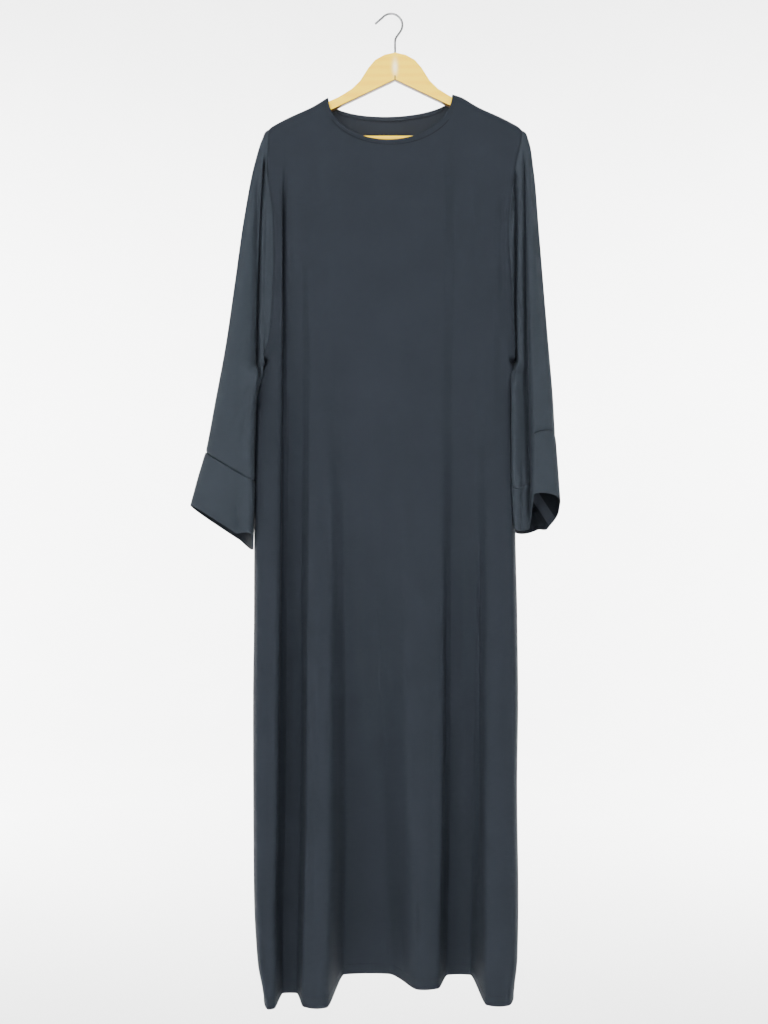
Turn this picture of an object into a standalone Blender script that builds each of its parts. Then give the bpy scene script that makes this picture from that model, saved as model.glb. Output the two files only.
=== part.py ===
"""A long closed abaya in plain crepe, hanging on a wooden clothes hanger.

Every length is in millimetres until it is handed to Blender, which works in metres. X runs to
the right as the front is looked at, Y runs away from the looker and Z is up. The origin is the
inside of the hook's crown, where the hanger sits on a rail. "Left" and "right" are the sides
as seen from the front.
"""

import math
from collections import namedtuple

import bmesh
import bpy
from mathutils import Vector

MM = 0.001
COLLECTION_NAME = "abaya_on_hanger"

# Cloth and seams
WALL = 1.6
CUFF_WALL = 2.0
FACING_WALL = 1.0
FACING_START = 1.0
FACING_WIDTH = 6.5
SEAM_GAP = 0.3
CUFF_GAP = 0.5

# The garment's main heights and the line of the shoulders
CENTRE_X = 6.4
NECK_CENTRE_X = -1.2
NECK_HALF_WIDTH = 99.0
FRONT_NECK_DEPTH = 70.0
BACK_NECK_DEPTH = 27.5
UNDERARM_Z = -554.0
YOKE_Z = -262.0
HEM_Z = -1562.0
RIDGE_RADIUS = 9.0
RIDGE_HALF_GAP = 0.5
RIDGE_DROP = 6.0
RIDGE_SLOPE = 0.5
SIDE_RADIUS = 12.0
ARMHOLE_REACH = 36.0
UNDERARM_RADIUS = 14.0
UNDERARM_EASE = 30.0
LEAD = 3.0
HEM_RISE_PER_DEPTH = 0.1
HEM_RISE_START_Z = -1266.0
HEM_LOWEST_DEPTH = -62.0

# Height of the shoulder ridge at each distance from the hanger's middle
RIDGE_DISTANCE = (0.0, 60.0, 92.0, 107.0, 120.0, 134.0, 166.0, 180.0, 197.0, 206.0)
RIDGE_HEIGHT = (-112.0, -119.0, -128.5, -133.6, -141.5, -149.5, -164.0, -171.0, -180.5, -188.0)

# Half depth of the chest, forward and back, at the armhole
ARMHOLE_FRONT_DEPTH = 19.0
ARMHOLE_BACK_DEPTH = 22.0

# Line: heights, and the place of a seam or an edge at each of them
Line = namedtuple("Line", "heights places")

ARMHOLE_X = {
    "left": Line((-184, -249, -330, -386, -454, -518, -554), (-195, -196, -187, -186, -188, -192, -199)),
    "right": Line((-184, -249, -354, -414, -480, -554), (209, 197, 186, 190, 193, 196)),
}
SIDE_X = {
    "left": Line(
        (-554, -603, -669, -747, -838, -960, -1080, -1266, -1400, -1500, -1562),
        (-199, -212, -215.5, -217.5, -218, -219, -220, -219, -217, -211, -201),
    ),
    "right": Line(
        (-554, -603, -669, -747, -838, -960, -1090, -1240, -1390, -1500, -1562),
        (196, 195, 194.5, 195, 197, 202, 203, 201, 202, 200, 194),
    ),
}
SIDE_Y = Line((-554, -603, -747, -872, -1266, -1562), (0, 8, 13, 12, 3, -14))

# Folds that run down the front and the back. Each row is one crest or valley: its depth Y at the
# five stations, how far its middle bulges, the X of its right-hand edge at the stations, how
# softly that edge turns, and how many columns of the wall lie inside it
STATIONS = (-330.0, -554.0, -872.0, -1266.0, -1562.0)
Fold = namedtuple("Fold", "name depth bulge edge soft columns")
FRONT_FOLDS = (
    Fold("side crest", (-20, -22, -33, -48, -56), -8, (-167, -166, -169, -172, -176), 4.5, 1),
    Fold("deep valley", (-16, -9, -4, -6, -18), 2, (-137, -134, -136, -138, -143), 5, 1),
    Fold("broad crest", (-20, -23, -30, -44, -51), -11, (-99, -92, -84, -84, -88), 12, 2),
    Fold("middle valley", (-21, -22, -16, 10, 38), 5, (-10, -5, 0, 8, 20), 24, 2),
    Fold("middle crest", (-21, -23, -25, -15, 1), -9, (93, 90, 88, 87, 84), 9, 2),
    Fold("right valley", (-20, -20, -12, 10, 36), 4, (137, 141, 142, 140, 139), 9, 1),
    Fold("right crest", (-19, -21, -30, -40, -46), -10, None, None, 1),
)
BACK_FOLDS = (
    Fold("side crest", (23, 24, 28, 28, 22), 2, (-160, -158, -160, -162, -166), 8, 1),
    Fold("deep valley", (25, 29, 36, 42, 44), 4, (-134, -130, -130, -130, -133), 8, 1),
    Fold("broad crest", (26, 28, 24, 16, 6), -3, (-99, -96, -92, -90, -90), 10, 2),
    Fold("middle valley", (26, 31, 42, 56, 66), 4, (-6, 0, 6, 14, 20), 24, 2),
    Fold("middle crest", (26, 30, 34, 36, 30), -3, (93, 90, 86, 83, 78), 10, 2),
    Fold("right valley", (25, 29, 40, 54, 64), 4, (138, 140, 144, 144, 142), 9, 1),
    Fold("right crest", (22, 24, 27, 26, 20), 2, None, None, 1),
)

# Heights of the wall's level rows, and how far down the yoke its first rows lie
LEVEL_ROWS = (
    -330, -400, -470, -520, -541, -554, -568, -592, -640, -720,
    -830, -960, -1100, -1266, -1400, -1500, -1562,
)
YOKE_ROWS = (0.0, 0.02, 0.07, 0.17, 0.42, 0.7, 1.0)
NECK_START_ROW = 2
NECK_CORNER_DROP = 9.0

# Sleeve rings, from just outside the armhole to the cuff seam and on to the cuff's edge: the
# outer and inner points, the middle's Y, half the depth and how much higher the front lies
Ring = namedtuple("Ring", "name outer_x outer_z inner_x inner_z middle_y half_depth front_lift")
SLEEVE_RINGS = {
    "left": (
        Ring("cap", -205, -199, -201.5, -559, 1, 23, 0),
        Ring("shoulder", -217, -238, -205.5, -567, 0, 26, 0),
        Ring("upper arm", -233.5, -325, -210.8, -582, -3, 28, 0),
        Ring("mid arm", -247.5, -428, -214.2, -604, -7, 30, 0),
        Ring("elbow", -262, -530, -216, -640, -9, 32, 0),
        Ring("forearm", -278.5, -620, -217.3, -690, -10, 34, 0),
        Ring("cuff seam", -294, -701, -218, -746, -10, 36, 0),
    ),
    "right": (
        Ring("cap", 219, -201, 198.5, -559, 1, 23, 0),
        Ring("shoulder", 227, -250, 199, -567, 0, 26, 3),
        Ring("upper arm", 234.5, -340, 198.2, -582, -3, 28, 7),
        Ring("mid arm", 242, -440, 197, -604, -7, 30, 12),
        Ring("elbow", 249.5, -535, 196.4, -640, -9, 30, 20),
        Ring("forearm", 256, -615, 196.2, -692, -10, 31, 29),
        Ring("cuff seam", 260, -684, 196.8, -747, -10, 32, 36),
    ),
}
CUFF_RINGS = {
    "left": (
        Ring("cuff middle", -306, -743, -218.5, -799, -10, 34, 3),
        Ring("cuff edge", -317.5, -786, -219.5, -851, -10, 31, 7),
    ),
    "right": (
        Ring("cuff middle", 264, -733, 198.5, -780, -9, 32, 33),
        Ring("cuff edge", 268, -784, 201.5, -812, -8, 31, 30),
    ),
}
OVAL_BLUNTNESS = 0.36

# The left sleeve has a groove down its front: heights and X, its depth and half width
GROOVE = Line((-240, -400, -560), (-211, -212, -212))
GROOVE_DEPTH = 11.0
GROOVE_HALF_WIDTH = 7.0
GROOVE_FADE = 60.0

# The right sleeve's front is a flap that is turned back along a line. Inside the line the cloth
# lies deeper, more so from ring to ring, and isn't lifted as the flap is
FLAP = Line((-200, -450, -770), (216, 221, 227))
FLAP_STEP = 15.0
FLAP_TURN = 6.0
FLAP_FULL_Z = -480.0
FLAP_GAIN = 1.6

# Hanger
WOOD_THICKNESS = 12.0
WOOD_EDGE = 2.5
WOOD_SEAT = -2.3
BAR_RADIUS = 6.0
BAR_Z = -199.5
BAR_SEAT_DISTANCE = 182.0
V_APEX_Z = -105.6
V_SLOPE = 0.477
WOOD_TOP_DISTANCE = (0.0, 17.0, 31.7, 42.7, 55.5, 68.5, 82.0, 92.0, 107.0, 120.0)
WOOD_TOP_HEIGHT = (-61.4, -65.1, -73.3, -86.2, -106.4, -119.2, -127.8, -133.6, -140.2, -146.0)
WOOD_SEATED_DISTANCE = (134.0, 166.0, 180.0, 194.0)
WOOD_END_DISTANCE = 200.0
WOOD_END_BOTTOM = -208.0
# Rounded tip of each arm: how far in from its end, and down from its last seated point or up
# from its bottom
WOOD_TIP_UPPER = ((1.5, 5.0), (0.0, 10.0))
WOOD_TIP_LOWER = ((1.0, 3.0), (5.0, 0.0))
WOOD_BEVEL_STEPS = 1
WOOD_SHARP_ANGLE = 40.0
BAR_SIDES = 24
HOOK_RADIUS = 18.2
HOOK_WIRE_RADIUS = 1.8
HOOK_WIRE_STEPS = 2
HOOK_CROWN_STEPS = 16
HOOK_LEAVES_AT = 140.0
HOOK_ENDS_AT = -35.0
HOOK_TIP = (-25.3, -14.6)
# How far the wire runs on straight at each end of the bend from crown to stem
HOOK_BEND_START = 9.0
HOOK_BEND_END = 7.0
HOOK_BEND_STEPS = 4
STEM_TOP_Z = -44.0

# Finish of each material: colour, roughness, metallic
CLOTH_FINISH = ((0.043, 0.052, 0.066), 0.8, 0.0)
WOOD_FINISH = ((0.78, 0.53, 0.24), 0.3, 0.0)
CHROME_FINISH = ((0.75, 0.75, 0.76), 0.15, 1.0)


def line_at(line, height):
    """The smooth place of a seam or an edge at one height."""
    return between(height, line.heights, line.places)


def between(height, heights, values):
    """Reads a table smoothly: a cubic through its rows, level past both ends."""
    if height >= heights[0]:
        return float(values[0])
    if height <= heights[-1]:
        return float(values[-1])
    row = max(index for index in range(len(heights) - 1) if heights[index] >= height)
    span = heights[row + 1] - heights[row]
    part = (height - heights[row]) / span

    def slope(index):
        if index in (0, len(heights) - 1):
            return 0.0
        before = (values[index] - values[index - 1]) / (heights[index] - heights[index - 1])
        after = (values[index + 1] - values[index]) / (heights[index + 1] - heights[index])
        if before * after <= 0.0:
            return 0.0
        return 2.0 * before * after / (before + after)

    start = slope(row) * span
    end = slope(row + 1) * span
    rest = 1.0 - part
    return (
        values[row] * rest * rest * (1 + 2 * part)
        + values[row + 1] * part * part * (3 - 2 * part)
        + start * part * rest * rest
        - end * part * part * rest
    )


def smooth(part):
    """Runs from 0 to 1 and is level at both ends."""
    part = min(max(part, 0.0), 1.0)
    return part * part * (3.0 - 2.0 * part)


def rounded(part):
    """Runs from 0 to 1 as a quarter of a circle does, upright at 0 and level at 1."""
    part = min(max(part, 0.0), 1.0)
    return math.sqrt(1.0 - (1.0 - part) ** 2)


def ridge_z(x):
    """Height of the shoulder ridge, as if it ran on across the neck."""
    distance = abs(x - CENTRE_X)
    mirrored = tuple(-value for value in RIDGE_DISTANCE)
    return between(-distance, mirrored, RIDGE_HEIGHT)


def armhole_depth(height, side, face):
    """How far the armhole seam lies from the middle of the shoulder, front -1 or back 1."""
    top = ridge_z(line_at(ARMHOLE_X[side], height))
    full = ARMHOLE_FRONT_DEPTH if face < 0 else ARMHOLE_BACK_DEPTH
    below_ridge = top - height
    above_underarm = height - UNDERARM_Z
    depth = RIDGE_RADIUS * rounded(below_ridge / RIDGE_DROP)
    depth += (full - RIDGE_RADIUS) * smooth(below_ridge / (top - YOKE_Z))
    return face * depth * rounded(above_underarm / UNDERARM_RADIUS)


def edge_point(height, side, face):
    """The panel's edge: the armhole seam above the underarm, the side seam below it."""
    inward = 1 if side == "left" else -1
    if height > UNDERARM_Z:
        x = line_at(ARMHOLE_X[side], height) + inward * SEAM_GAP / 2
        y = armhole_depth(height, side, face)
        return x, y + face * SEAM_GAP / 2
    x = line_at(SIDE_X[side], height)
    return x, line_at(SIDE_Y, height) + face * SEAM_GAP / 2


def fold_edges(folds, height):
    """X of both side edges and of each fold's edge at one height."""
    left = edge_point(height, "left", -1)[0]
    right = edge_point(height, "right", -1)[0]
    inner = [between(height, STATIONS, fold.edge) for fold in folds[:-1]]
    return [left] + inner + [right]


def fold_depth(folds, height, x):
    """Depth Y of the folded panel at one height and X, away from its side edges."""
    edges = fold_edges(folds, height)
    total = 0.0
    for index, fold in enumerate(folds):
        start, end = edges[index], edges[index + 1]
        middle = (start + end) / 2
        across = min(max((x - middle) / ((end - start) / 2), -1.0), 1.0)
        swell = smooth((STATIONS[0] - height) / (STATIONS[0] - STATIONS[3]))
        depth = between(height, STATIONS, fold.depth) + fold.bulge * swell * (1 - across ** 2)
        weight = 1.0
        if index > 0:
            soft = folds[index - 1].soft
            weight *= smooth((x - start + soft) / (2 * soft))
        if index < len(folds) - 1:
            weight *= 1.0 - smooth((x - end + fold.soft) / (2 * fold.soft))
        total += weight * depth
    return total


def columns_at(folds, height):
    """X of each column of the wall at one height, from the left edge to the right."""
    edges = fold_edges(folds, height)
    columns = [edges[0] + SIDE_RADIUS * part for part in (0.0, 0.12, 0.42, 1.0)]
    for index, fold in enumerate(folds):
        start = columns[-1]
        last = index == len(folds) - 1
        end = edges[-1] - SIDE_RADIUS if last else edges[index + 1] - fold.soft
        for step in range(fold.columns):
            columns.append(start + (end - start) * (step + 1) / (fold.columns + 1))
        if not last:
            columns += [edges[index + 1] + fold.soft * part for part in (-1.0, -0.35, 0.35, 1.0)]
    columns += [edges[-1] - SIDE_RADIUS * part for part in (1.0, 0.42, 0.12, 0.0)]
    return columns


def panel_depth(folds, height, x, face):
    """Depth Y of a panel at one height and X, with its edges turned towards the seams."""
    depth = fold_depth(folds, height, x)
    for side in ("left", "right"):
        edge_x, edge_y = edge_point(height, side, face)
        distance = abs(x - edge_x)
        if height > UNDERARM_Z:
            full = smooth(distance / ARMHOLE_REACH)
        else:
            full = rounded(distance / SIDE_RADIUS)
        depth = edge_y + (depth - edge_y) * full
    return depth


def neck_level(x):
    """Height of the straight line between the two neck points."""
    part = (x - NECK_CENTRE_X) / NECK_HALF_WIDTH
    left = ridge_z(NECK_CENTRE_X - NECK_HALF_WIDTH)
    right = ridge_z(NECK_CENTRE_X + NECK_HALF_WIDTH)
    return left + (right - left) * (1.0 + part) / 2


def neck_columns(yoke):
    """The two columns of the wall that run up to the neck points."""
    found = []
    for side in (-1, 1):
        target = NECK_CENTRE_X + side * NECK_HALF_WIDTH
        found.append(min(range(len(yoke)), key=lambda index: abs(yoke[index] - target)))
    return found


def neck_edge(neck_depth, below, side):
    """X of the neck edge a given way below its neck point, on side -1 or 1."""
    part = min(below / neck_depth, 1.0)
    return NECK_CENTRE_X + side * NECK_HALF_WIDTH * math.sqrt(1.0 - part * part)


def yoke_row(yoke, row, neck_depth):
    """X and Z of each column on one row of the yoke, or None inside the neck."""
    first, last = neck_columns(yoke)
    part = YOKE_ROWS[row]
    start_part = YOKE_ROWS[NECK_START_ROW]
    points = []
    for index, yoke_x in enumerate(yoke):
        if first < index < last:
            if row < NECK_START_ROW:
                points.append(None)
                continue
            corner = NECK_CORNER_DROP / neck_depth
            turn = math.asin(corner)
            turn += (math.pi - 2 * turn) * (index - first) / (last - first)
            top_x = NECK_CENTRE_X - NECK_HALF_WIDTH * math.cos(turn)
            top_z = neck_level(top_x) - neck_depth * math.sin(turn)
            down = (part - start_part) / (1 - start_part)
        else:
            side = -1 if index <= first else 1
            name = "left" if side < 0 else "right"
            edge, neck = (yoke[0], yoke[first]) if side < 0 else (yoke[-1], yoke[last])
            tip = edge_point(ridge_z(ARMHOLE_X[name].places[0]), name, -1)[0]
            neck_x = NECK_CENTRE_X + side * NECK_HALF_WIDTH
            top_x = tip + (neck_x - tip) * (yoke_x - edge) / (neck - edge)
            top_z = ridge_z(top_x)
            if index in (first, last) and row <= NECK_START_ROW:
                below = NECK_CORNER_DROP * (0.0, 0.3, 1.0)[row]
                points.append((neck_edge(neck_depth, below, side), top_z - below))
                continue
            down = part
        x = top_x + (yoke_x - top_x) * smooth(down)
        points.append((x, top_z + (YOKE_Z - top_z) * down))
    return points


def yoke_depth(x, height, full_depth, face):
    """Depth Y on the yoke: rounded over the hanger's arm, then out to the chest."""
    below = ridge_z(x) - height
    depth = RIDGE_RADIUS * rounded(below / RIDGE_DROP)
    depth += (abs(full_depth) - RIDGE_RADIUS) * smooth(below / (ridge_z(x) - YOKE_Z))
    return face * max(depth, RIDGE_HALF_GAP)


def panel_grid(folds, neck_depth, face):
    """Rows of points over a panel, from its shoulders and neck to its hem."""
    rows = []
    yoke = columns_at(folds, YOKE_Z)
    full = [panel_depth(folds, YOKE_Z, x, face) for x in yoke]
    for row_number in range(len(YOKE_ROWS)):
        row = []
        for place, depth in zip(yoke_row(yoke, row_number, neck_depth), full):
            if place is None:
                row.append(None)
                continue
            row.append((place[0], yoke_depth(*place, depth, face), place[1]))
        for side, column in (("left", 0), ("right", -1)):
            height = row[column][2]
            edge_x, edge_y = edge_point(height, side, face)
            row[column] = (edge_x, face * max(abs(edge_y), RIDGE_HALF_GAP), height)
        rows.append(row)
    for height in LEVEL_ROWS:
        row = []
        for x in columns_at(folds, height):
            depth = panel_depth(folds, height, x, face)
            rise = smooth((HEM_RISE_START_Z - height) / (HEM_RISE_START_Z - HEM_Z))
            lift = HEM_RISE_PER_DEPTH * (depth - HEM_LOWEST_DEPTH) * rise
            row.append((x, depth, height + lift))
        rows.append(row)
    return rows


def armhole_heights(side):
    """Heights of the armhole seam's points, which the panels' rows share, from the top down."""
    top = ridge_z(ARMHOLE_X[side].places[0])
    heights = [top + (YOKE_Z - top) * part for part in YOKE_ROWS]
    return heights + [height for height in LEVEL_ROWS if height >= UNDERARM_Z]


def facing_grid():
    """Rows of points over the narrow facing inside the back neck, made from the back's points."""
    yoke = columns_at(BACK_FOLDS, YOKE_Z)
    first, last = neck_columns(yoke)
    edge = yoke_row(yoke, NECK_START_ROW, BACK_NECK_DEPTH)
    inset = WALL / 2 + SEAM_GAP + FACING_WALL / 2
    rows = []
    for down in (0.0, 0.5, 1.0):
        row = []
        for index in range(first + 1, last):
            x, z = edge[index]
            z -= FACING_START + FACING_WIDTH * down
            full = panel_depth(BACK_FOLDS, YOKE_Z, yoke[index], 1)
            row.append((x, yoke_depth(x, z, full, 1) - inset, z))
        rows.append(row)
    return rows


def ring_columns(side, evenness):
    """Each column of a sleeve ring: its share of the way in, its face and the seam's own spread."""
    heights = armhole_heights(side)
    count = len(heights) - 1
    top = heights[0]
    columns = []
    for step in range(2 * count):
        index = count - step if step <= count else step - count
        height = heights[index]
        seam_part = (top - height) / (top - UNDERARM_Z)
        even_part = (1 - math.cos(math.pi * index / count)) / 2
        part = seam_part + (even_part - seam_part) * evenness
        face = -1 if step < count else 1
        full = ARMHOLE_FRONT_DEPTH if face < 0 else ARMHOLE_BACK_DEPTH
        spread = abs(armhole_depth(height, side, face)) / full
        columns.append((part, face, spread))
    return columns


def ring_points(ring, side, evenness):
    """One ring of a sleeve or cuff, from its inner point round the front and back again."""
    points = []
    for part, face, seam_spread in ring_columns(side, evenness):
        oval_spread = (4 * part * (1 - part)) ** OVAL_BLUNTNESS if 0 < part < 1 else 0.0
        spread = seam_spread + (oval_spread - seam_spread) * evenness
        x = ring.outer_x + (ring.inner_x - ring.outer_x) * part
        z = ring.outer_z + (ring.inner_z - ring.outer_z) * part
        y = ring.middle_y + face * ring.half_depth * spread
        lift = ring.front_lift
        if face < 0 and side == "left":
            y += groove_depth(x, z) * spread
        if face < 0 and side == "right":
            inside = flap_share(x, z)
            y += FLAP_STEP * inside * spread * min(FLAP_GAIN * evenness, 1.0)
            lift *= 1 - inside
        points.append((x, y, z - face * lift * spread))
    return points


def groove_depth(x, z):
    """How deep the groove in the front of the left sleeve is at one place."""
    across = (x - line_at(GROOVE, z)) / GROOVE_HALF_WIDTH
    start = smooth((GROOVE.heights[0] - z) / GROOVE_FADE)
    end = smooth((z - GROOVE.heights[-1] + GROOVE_FADE) / GROOVE_FADE)
    return GROOVE_DEPTH * math.exp(-across * across) * start * end


def flap_share(x, z):
    """How far the front of the right sleeve is set back at one place, from 0 to 1."""
    inside = smooth((line_at(FLAP, z) - x) / FLAP_TURN + 0.5)
    return inside * smooth((FLAP.heights[0] - z) / (FLAP.heights[0] - FLAP_FULL_Z))


def armhole_rings(side):
    """The sleeve's first two rings, which carry on from the panels' armhole edges."""
    outward = -1 if side == "left" else 1
    heights = armhole_heights(side)
    count = len(heights) - 1
    edge = []
    lead = []
    for step in range(2 * count):
        index = count - step if step <= count else step - count
        z = heights[index]
        face = -1 if step < count else 1
        y = 0.0 if index in (0, count) else armhole_depth(z, side, face)
        near_underarm = 1 - smooth((z - UNDERARM_Z) / UNDERARM_EASE)
        near_ridge = 1 - smooth((heights[0] - z) / UNDERARM_EASE)
        x = line_at(ARMHOLE_X[side], z) + outward * (SEAM_GAP / 2 + WALL * near_underarm)
        edge.append((x, y, z))
        lead.append((x + outward * LEAD, y, z - RIDGE_SLOPE * LEAD * near_ridge))
    return [edge, lead]


def new_object(name, mesh, finish):
    """Adds one sub-part with its material to the garment's collection."""
    piece = bpy.data.objects.new(name, mesh)
    bpy.data.collections[COLLECTION_NAME].objects.link(piece)
    mesh.materials.append(material(name, finish))
    return piece


def material(name, finish):
    """A Principled material in one colour."""
    colour, roughness, metallic = finish
    made = bpy.data.materials.new(name)
    made.use_nodes = True
    shader = made.node_tree.nodes["Principled BSDF"]
    shader.inputs["Base Color"].default_value = (*colour, 1.0)
    shader.inputs["Roughness"].default_value = roughness
    shader.inputs["Metallic"].default_value = metallic
    return made


def cloth(name, rows, closed, thickness, flip):
    """A sheet through rows of points, given its thickness."""
    shape = bmesh.new()
    grid = []
    for row in rows:
        grid.append([shape.verts.new(Vector(point) * MM) if point else None for point in row])
    count = len(grid[0])
    for upper, lower in zip(grid, grid[1:]):
        for column in range(count if closed else count - 1):
            after = (column + 1) % count
            corners = [upper[column], lower[column], lower[after], upper[after]]
            if None in corners:
                continue
            shape.faces.new(reversed(corners) if flip else corners)
    mesh = bpy.data.meshes.new(name)
    shape.to_mesh(mesh)
    shape.free()
    mesh.shade_smooth()
    piece = new_object(name, mesh, CLOTH_FINISH)
    wall = piece.modifiers.new("wall", "SOLIDIFY")
    wall.thickness = thickness * MM
    wall.offset = 0.0
    wall.use_even_offset = False
    return piece


def build_panels():
    """Front and back, and the narrow facing that shows inside the back neck."""
    front = panel_grid(FRONT_FOLDS, FRONT_NECK_DEPTH, -1)
    back = panel_grid(BACK_FOLDS, BACK_NECK_DEPTH, 1)
    cloth("front", front, False, WALL, False)
    cloth("back", back, False, WALL, True)
    cloth("neck_facing", facing_grid(), False, FACING_WALL, True)


def build_sleeves():
    """Both sleeves and the deep bands of their cuffs."""
    for side in ("left", "right"):
        rings = armhole_rings(side)
        table = SLEEVE_RINGS[side]
        for index, ring in enumerate(table):
            rings.append(ring_points(ring, side, smooth((index + 1) / len(table))))
        cloth("sleeve_" + side, rings, True, WALL, side == "right")
        start = []
        lead = []
        seam = rings[-1]
        for index, (above, point) in enumerate(zip(rings[-2], seam)):
            along = (Vector(seam[(index + 1) % len(seam)]) - Vector(seam[index - 1])).normalized()
            down = Vector(point) - Vector(above)
            down = (down - along * down.dot(along)).normalized()
            start.append(tuple(Vector(point) + down * CUFF_GAP))
            lead.append(tuple(Vector(point) + down * LEAD))
        lower = [lead] + [ring_points(ring, side, 1.0) for ring in CUFF_RINGS[side]]
        cloth("cuff_" + side, [start] + lower, True, CUFF_WALL, side == "right")


def wood_outline():
    """The hanger's outline, from the middle of its top to the end of the right arm and back."""
    top = list(zip(WOOD_TOP_DISTANCE, WOOD_TOP_HEIGHT))
    for distance in WOOD_SEATED_DISTANCE:
        top.append((distance, ridge_z(CENTRE_X + distance) + WOOD_SEAT))
    tip_z = top[-1][1]
    end = [(WOOD_END_DISTANCE - inward, tip_z - down) for inward, down in WOOD_TIP_UPPER]
    end += [(WOOD_END_DISTANCE - inward, WOOD_END_BOTTOM + up) for inward, up in WOOD_TIP_LOWER]
    end += [
        (BAR_SEAT_DISTANCE, WOOD_END_BOTTOM),
        (BAR_SEAT_DISTANCE, V_APEX_Z - V_SLOPE * BAR_SEAT_DISTANCE),
    ]
    right = top + end
    left = [(-distance, height) for distance, height in reversed(right) if distance > 0]
    return right + [(0.0, V_APEX_Z)] + left


def build_hanger():
    """The varnished wooden hanger, its trouser bar and its chromed wire hook."""
    curve = bpy.data.curves.new("hanger", "CURVE")
    curve.dimensions = "2D"
    curve.fill_mode = "BOTH"
    curve.extrude = (WOOD_THICKNESS / 2 - WOOD_EDGE) * MM
    curve.bevel_depth = WOOD_EDGE * MM
    curve.offset = -WOOD_EDGE * MM
    curve.bevel_resolution = WOOD_BEVEL_STEPS
    outline = wood_outline()
    spline = curve.splines.new("POLY")
    spline.points.add(len(outline) - 1)
    for point, (distance, height) in zip(spline.points, outline):
        point.co = ((CENTRE_X + distance) * MM, height * MM, 0.0, 1.0)
    spline.use_cyclic_u = True
    holder = bpy.data.objects.new("hanger_outline", curve)
    bpy.data.collections[COLLECTION_NAME].objects.link(holder)
    holder.rotation_euler = (math.pi / 2, 0.0, 0.0)
    settle(holder, "hanger", WOOD_FINISH)

    length = 2 * (BAR_SEAT_DISTANCE - SEAM_GAP)
    bpy.ops.mesh.primitive_cylinder_add(
        vertices=BAR_SIDES,
        radius=BAR_RADIUS * MM,
        depth=length * MM,
        location=(CENTRE_X * MM, 0.0, BAR_Z * MM),
        rotation=(0.0, math.pi / 2, 0.0),
    )
    bar = bpy.context.object
    bar.name = "trouser_bar"
    bar.data.materials.append(material("trouser_bar", WOOD_FINISH))
    for holding in list(bar.users_collection):
        holding.objects.unlink(bar)
    bpy.data.collections[COLLECTION_NAME].objects.link(bar)
    bar.data.shade_smooth()

    curve = bpy.data.curves.new("hook", "CURVE")
    curve.dimensions = "3D"
    curve.bevel_depth = HOOK_WIRE_RADIUS * MM
    curve.bevel_resolution = HOOK_WIRE_STEPS
    curve.use_fill_caps = True
    route = hook_route()
    spline = curve.splines.new("POLY")
    spline.points.add(len(route) - 1)
    for point, (x, z) in zip(spline.points, route):
        point.co = (x * MM, 0.0, z * MM, 1.0)
    holder = bpy.data.objects.new("hook_route", curve)
    bpy.data.collections[COLLECTION_NAME].objects.link(holder)
    settle(holder, "hook", CHROME_FINISH)


def hook_route():
    """Centre line of the hook's wire: its tip, round the crown and down the stem."""
    centre_z = HOOK_WIRE_RADIUS - HOOK_RADIUS
    route = [HOOK_TIP]
    for step in range(HOOK_CROWN_STEPS + 1):
        part = step / HOOK_CROWN_STEPS
        turn = math.radians(HOOK_LEAVES_AT + (HOOK_ENDS_AT - HOOK_LEAVES_AT) * part)
        route.append((HOOK_RADIUS * math.cos(turn), centre_z + HOOK_RADIUS * math.sin(turn)))
    start = Vector(route[-1])
    heading = Vector((math.sin(math.radians(HOOK_ENDS_AT)), -math.cos(math.radians(HOOK_ENDS_AT))))
    end = Vector((CENTRE_X, STEM_TOP_Z))
    leaving = start + heading * HOOK_BEND_START
    arriving = end + Vector((0.0, HOOK_BEND_END))
    for step in range(1, HOOK_BEND_STEPS + 1):
        part = step / HOOK_BEND_STEPS
        rest = 1 - part
        point = start * rest ** 3 + leaving * 3 * part * rest ** 2
        point += arriving * 3 * part ** 2 * rest + end * part ** 3
        route.append(tuple(point))
    route.append((CENTRE_X, WOOD_TOP_HEIGHT[0] + SEAM_GAP))
    return route


def settle(holder, name, finish):
    """Turns a curve object into a mesh object with its loose caps welded on."""
    bpy.context.view_layer.update()
    graph = bpy.context.evaluated_depsgraph_get()
    mesh = bpy.data.meshes.new_from_object(holder.evaluated_get(graph))
    shape = bmesh.new()
    shape.from_mesh(mesh)
    bmesh.ops.remove_doubles(shape, verts=shape.verts, dist=0.01 * MM)
    bmesh.ops.recalc_face_normals(shape, faces=shape.faces)
    shape.to_mesh(mesh)
    shape.free()
    mesh.materials.clear()
    mesh.shade_smooth()
    mesh.set_sharp_from_angle(angle=math.radians(WOOD_SHARP_ANGLE))
    piece = new_object(name, mesh, finish)
    piece.matrix_world = holder.matrix_world.copy()
    bpy.data.objects.remove(holder)


def main():
    """Clears the scene and builds the garment and its hanger."""
    for old in list(bpy.data.objects):
        bpy.data.objects.remove(old)
    bpy.context.scene.collection.children.link(bpy.data.collections.new(COLLECTION_NAME))
    build_panels()
    build_sleeves()
    build_hanger()


main()
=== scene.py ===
import math
from collections import namedtuple

import bpy
import numpy as np
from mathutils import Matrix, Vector
from mathutils.bvhtree import BVHTree


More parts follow.
